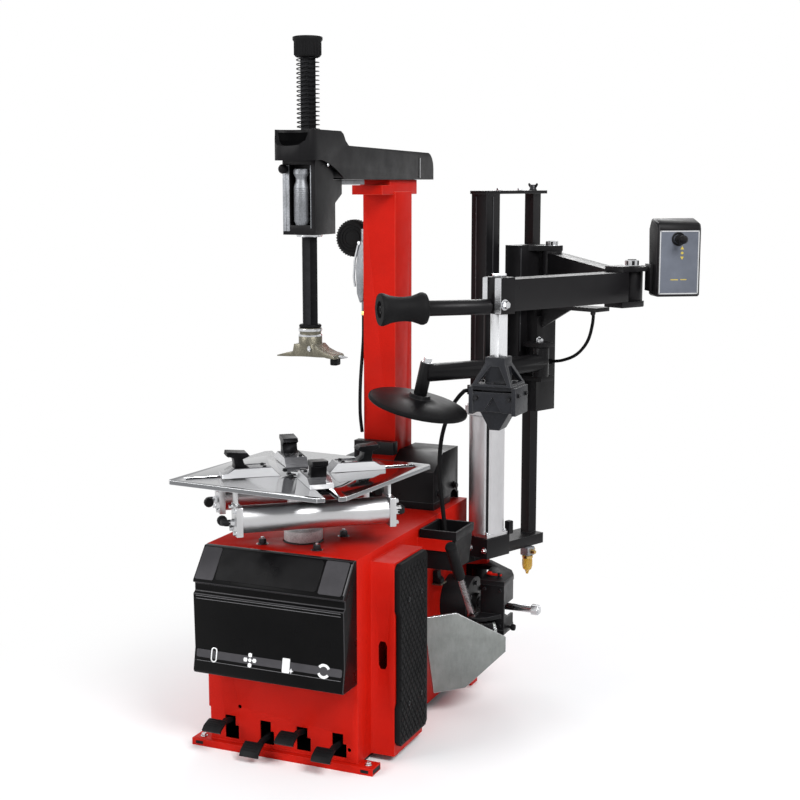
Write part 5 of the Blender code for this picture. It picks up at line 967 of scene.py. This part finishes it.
Shape("breaker_lever_grip", "breaker", RUBBER).turned(profile, n=24, place=grip_place)
valve = Shape("breaker_valve_lever", "breaker", RED)
VALVE_AT = (398, 505, 404)
valve.slab(plate(-26, 20, -5, 5, 3), 0, 5, VALVE_AT, '+Z', 1.2)
valve.slab(plate(-28, -12, -7, 7, 4), 1, 9, VALVE_AT, '+Z', 1.6)
bolts = Shape("breaker_arm_bolts", "breaker", DARK)
bolts.hex_bolt((410, 505, 397.5), '+Z', 11, 15)
bolts.hex_bolt((290, 655, 397.5), '+Z', 22, 12)
for x, z in product((376, 426), (258, 370)):
    bolts.socket_bolt((x, BREAK_Y - 73, z), '-Y', 5.6, 6)
knob = Shape("breaker_arm_knob", "breaker", PLASTIC)
knob.turned([(0, 0), (4, 0), (4, 10), (9, 12), (10.5, 18), (9, 24), (0, 27)], (440, 500, 248), '+X', 18)

# Filter: ports, neck ring, drain and bowl ribs
FILTER = (40, 175)
ports = Shape("filter_ports", "base", BRASS, STAND)
for way, dx, dy in (('+X', 18, 0), ('+Y', 0, 18)):
    ports.knob([(8, 0), (8, 7), (6.2, 10), (6.2, 15)], (FILTER[0] + dx, FILTER[1] + dy, 399), way, 6)
ports.ring([(15, 0), (17.8, 0), (18.2, 3), (17.8, 7.5), (15, 7.5)], (*FILTER, 375), '+Z', 28)
drain = Shape("filter_bowl_ribs", "base", BOWL, STAND)
drain.turned([(0, 0), (3.6, 0), (4.8, 2), (4.8, 6), (6, 6.5), (0, 7)], (*FILTER, 321), '+Z', 16)
for x, y in circle(*FILTER, 16, 12):
    drain.pipe([(x, y, z) for z in (348, 358, 370)], 1, 6)

# Carriage and links: bright nuts, end rims, side bolts, hose nuts and an edge line
Shape("carriage_pivot_nut", "carriage", STEEL, INNER).hex_bolt((0, 0, 96.5), '+Z', 35.2, 16, 12)
nuts = Shape("outer_arm_nuts", "outer_link", STEEL, OUTER)
nuts.hex_bolt((0, 0, 57), '+Z', 35.2, 17, 12)
nuts.hex_bolt((OUTER_LONG + 13, 35, -22.9), '+Y', 18.5, 12, 20)
rims = Shape("outer_arm_end_rims", "outer_link", STEEL, OUTER)
for y0, y1 in ((-34.5, -16), (12, 34.5)):
    rims.slab(plate(y0, y1, -47.5, 47.5, 1.6), -0.4, 2.2, place=move((OUTER_LONG + 26, 0, 0)) @ SIDEWAYS,
        ease=0.8)
bolts = Shape("carriage_bolts", "carriage", STEEL, STAND)
bolts.hex_bolt((130, 108.5, 1104), '+X', 16.5, 12)
for z in (965, 1015, 1305, 1365):
    bolts.hex_bolt((-30.6, POST_OFF, z), '-X', 14, 9)
nuts = Shape("carriage_hose_nuts", "carriage", DARK, STAND)
for at, way in (((130, 166, PLATE_Z - 188), '+X'), ((338, 112, PLATE_Z - 12), '-Z')):
    nuts.knob([(8.5, 0), (8.5, 8), (6.6, 12)], at, way, 6)
Shape("carriage_edge_line", "carriage", BLACK_EDGE, STAND).brick((87, 65, 1070), (89.2, 68.5, 1392), 0.5)
hose_nut = Shape("feed_hose_nut", "base", STEEL)
hose_nut.knob([(9.8, -14), (10.4, -11), (10.4, 4), (8.4, 8)], (283, 380, 540), '+Z', 6)

# Press tools: block bolts, the roller's grip, its bare sleeve, and the lifting disc's rim and nut
press = Shape("press_block_bolts", "press", DARK, PRESS)
for x, y in ((0, -40), (46, 0), (-46, 0), (0, 40)):
    press.hex_bolt((x, y, -236), '+Z', 11.5, 9)
for x in (-46, 46):
    press.hex_bolt((x, -46, -270), '-Y', 10.5, 7)
for y in (-30, 30):
    press.socket_bolt((66, y, -262), '+X', 5.5, 6)
ROLL_WAY = Vector((-0.76, -0.65, 0)).normalized()
roll_place = move((*LINK_C, LINK_Z - 30)) @ ROLL_WAY.to_track_quat('Z', 'Y').to_matrix().to_4x4()
GRIP = [(13.3, 201), (30, 201), (40, 206), (42.5, 212), (42.5, 218), (39, 227), (33.8, 242), (31.8, 260),
    (32.2, 280), (35.5, 300), (40.5, 314), (42.8, 321), (42.8, 326.2), (41, 329.8), (22.5, 329.8),
    (20.5, 322), (13.3, 322)]
grip = Shape("press_roller_grip", "roller", RUBBER)
grip.ring(GRIP, n=48, place=roll_place)
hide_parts("press_roller")
sleeve = Shape("press_roller_sleeve", "outer_link", BLACK)
sleeve.ring([(13.3, 28), (20, 28), (20.5, 30), (20.5, 198.5), (19.5, 200), (13.3, 200)], n=32,
    place=roll_place)
sleeve.knob([(11.8, 319.5), (11.8, 326), (10, 328), (7, 328), (6, 325)], n=6, place=roll_place)
rim = Shape("lift_disc_rim", "disc", RUBBER, DISC, slot="black_plastic")
rim.ring([(146, -9.5), (149.8, -7.5), (150.6, -3.5), (149.4, 0), (146, 2)], n=72)
Shape("disc_arm_nut", "disc_link", STEEL, DISC).hex_bolt((0, 0, 128.2), '+Z', 22, 15, 8)

# Control box: grey face with a bright border, yellow marks, joystick ring and boot
CTRL_FACE = CTRL @ move((0, -40, 0)) @ FACING['-Y']
STICK = (-4, 52)
hole = circle(*STICK, 15, 24, 90, 450)
outside = plate(-56.2, 56.2, -101, 74, 6)
outside = outside[4:] + outside[:4]
face = Shape("control_face", "outer_link", FACEPLATE, CTRL_FACE)
face.slab([(STICK[0], 74), *outside[1:], outside[0], (STICK[0], 74), hole[0], *hole[:0:-1], hole[0]], 0, 1)
border = Shape("control_border", "outer_link", LAND, CTRL_FACE)
for x0, x1, y0, y1 in ((-57.7, 57.7, 72.2, 75.5), (-57.7, 57.7, -102.5, -99.2),
        (-57.7, -54.4, -102.5, 75.5), (54.4, 57.7, -102.5, 75.5)):
    border.slab(plate(x0, x1, y0, y1, 0.6), -0.2, 1.4, ease=0.3)
arrows = Shape("control_arrows", "outer_link", YELLOW, CTRL_FACE)
for z, flip in ((27, 1), (13, 0), (-1, -1)):
    arrow = [(-5.2, -4 * flip), (0, 5.4 * flip), (5.2, -4 * flip)]
    mark = arrow if flip else circle(0, 0, 3.8, 12)
    arrows.slab([(8 + x, z + y) for x, y in mark], 0.6, 1.5)
for x0, x1 in ((-24, -2), (5, 23)):
    arrows.slab(plate(x0, x1, -63, -60.6, 0.6), 0.6, 1.4)
bezel = Shape("joystick_bezel", "outer_link", IRON, CTRL_FACE, slot="bright_steel")
bezel.ring([(15, 0), (19.5, 0), (19.5, 2.6), (17.2, 4.2), (15, 3.4)], (*STICK, 0.8), n=32)
BELLOWS = [(5.2, 8.2), (11.8, 8.2), (11, 9.6), (12.6, 11), (10.4, 13.5), (11.2, 15.5), (8.8, 18), (9.4, 20),
    (6.6, 23.5), (5.2, 23.5)]
Shape("joystick_boot", "stick", RUBBER, CTRL_FACE).ring(BELLOWS, (*STICK, -3))

for shape in Shape.made:
    shape.finish()
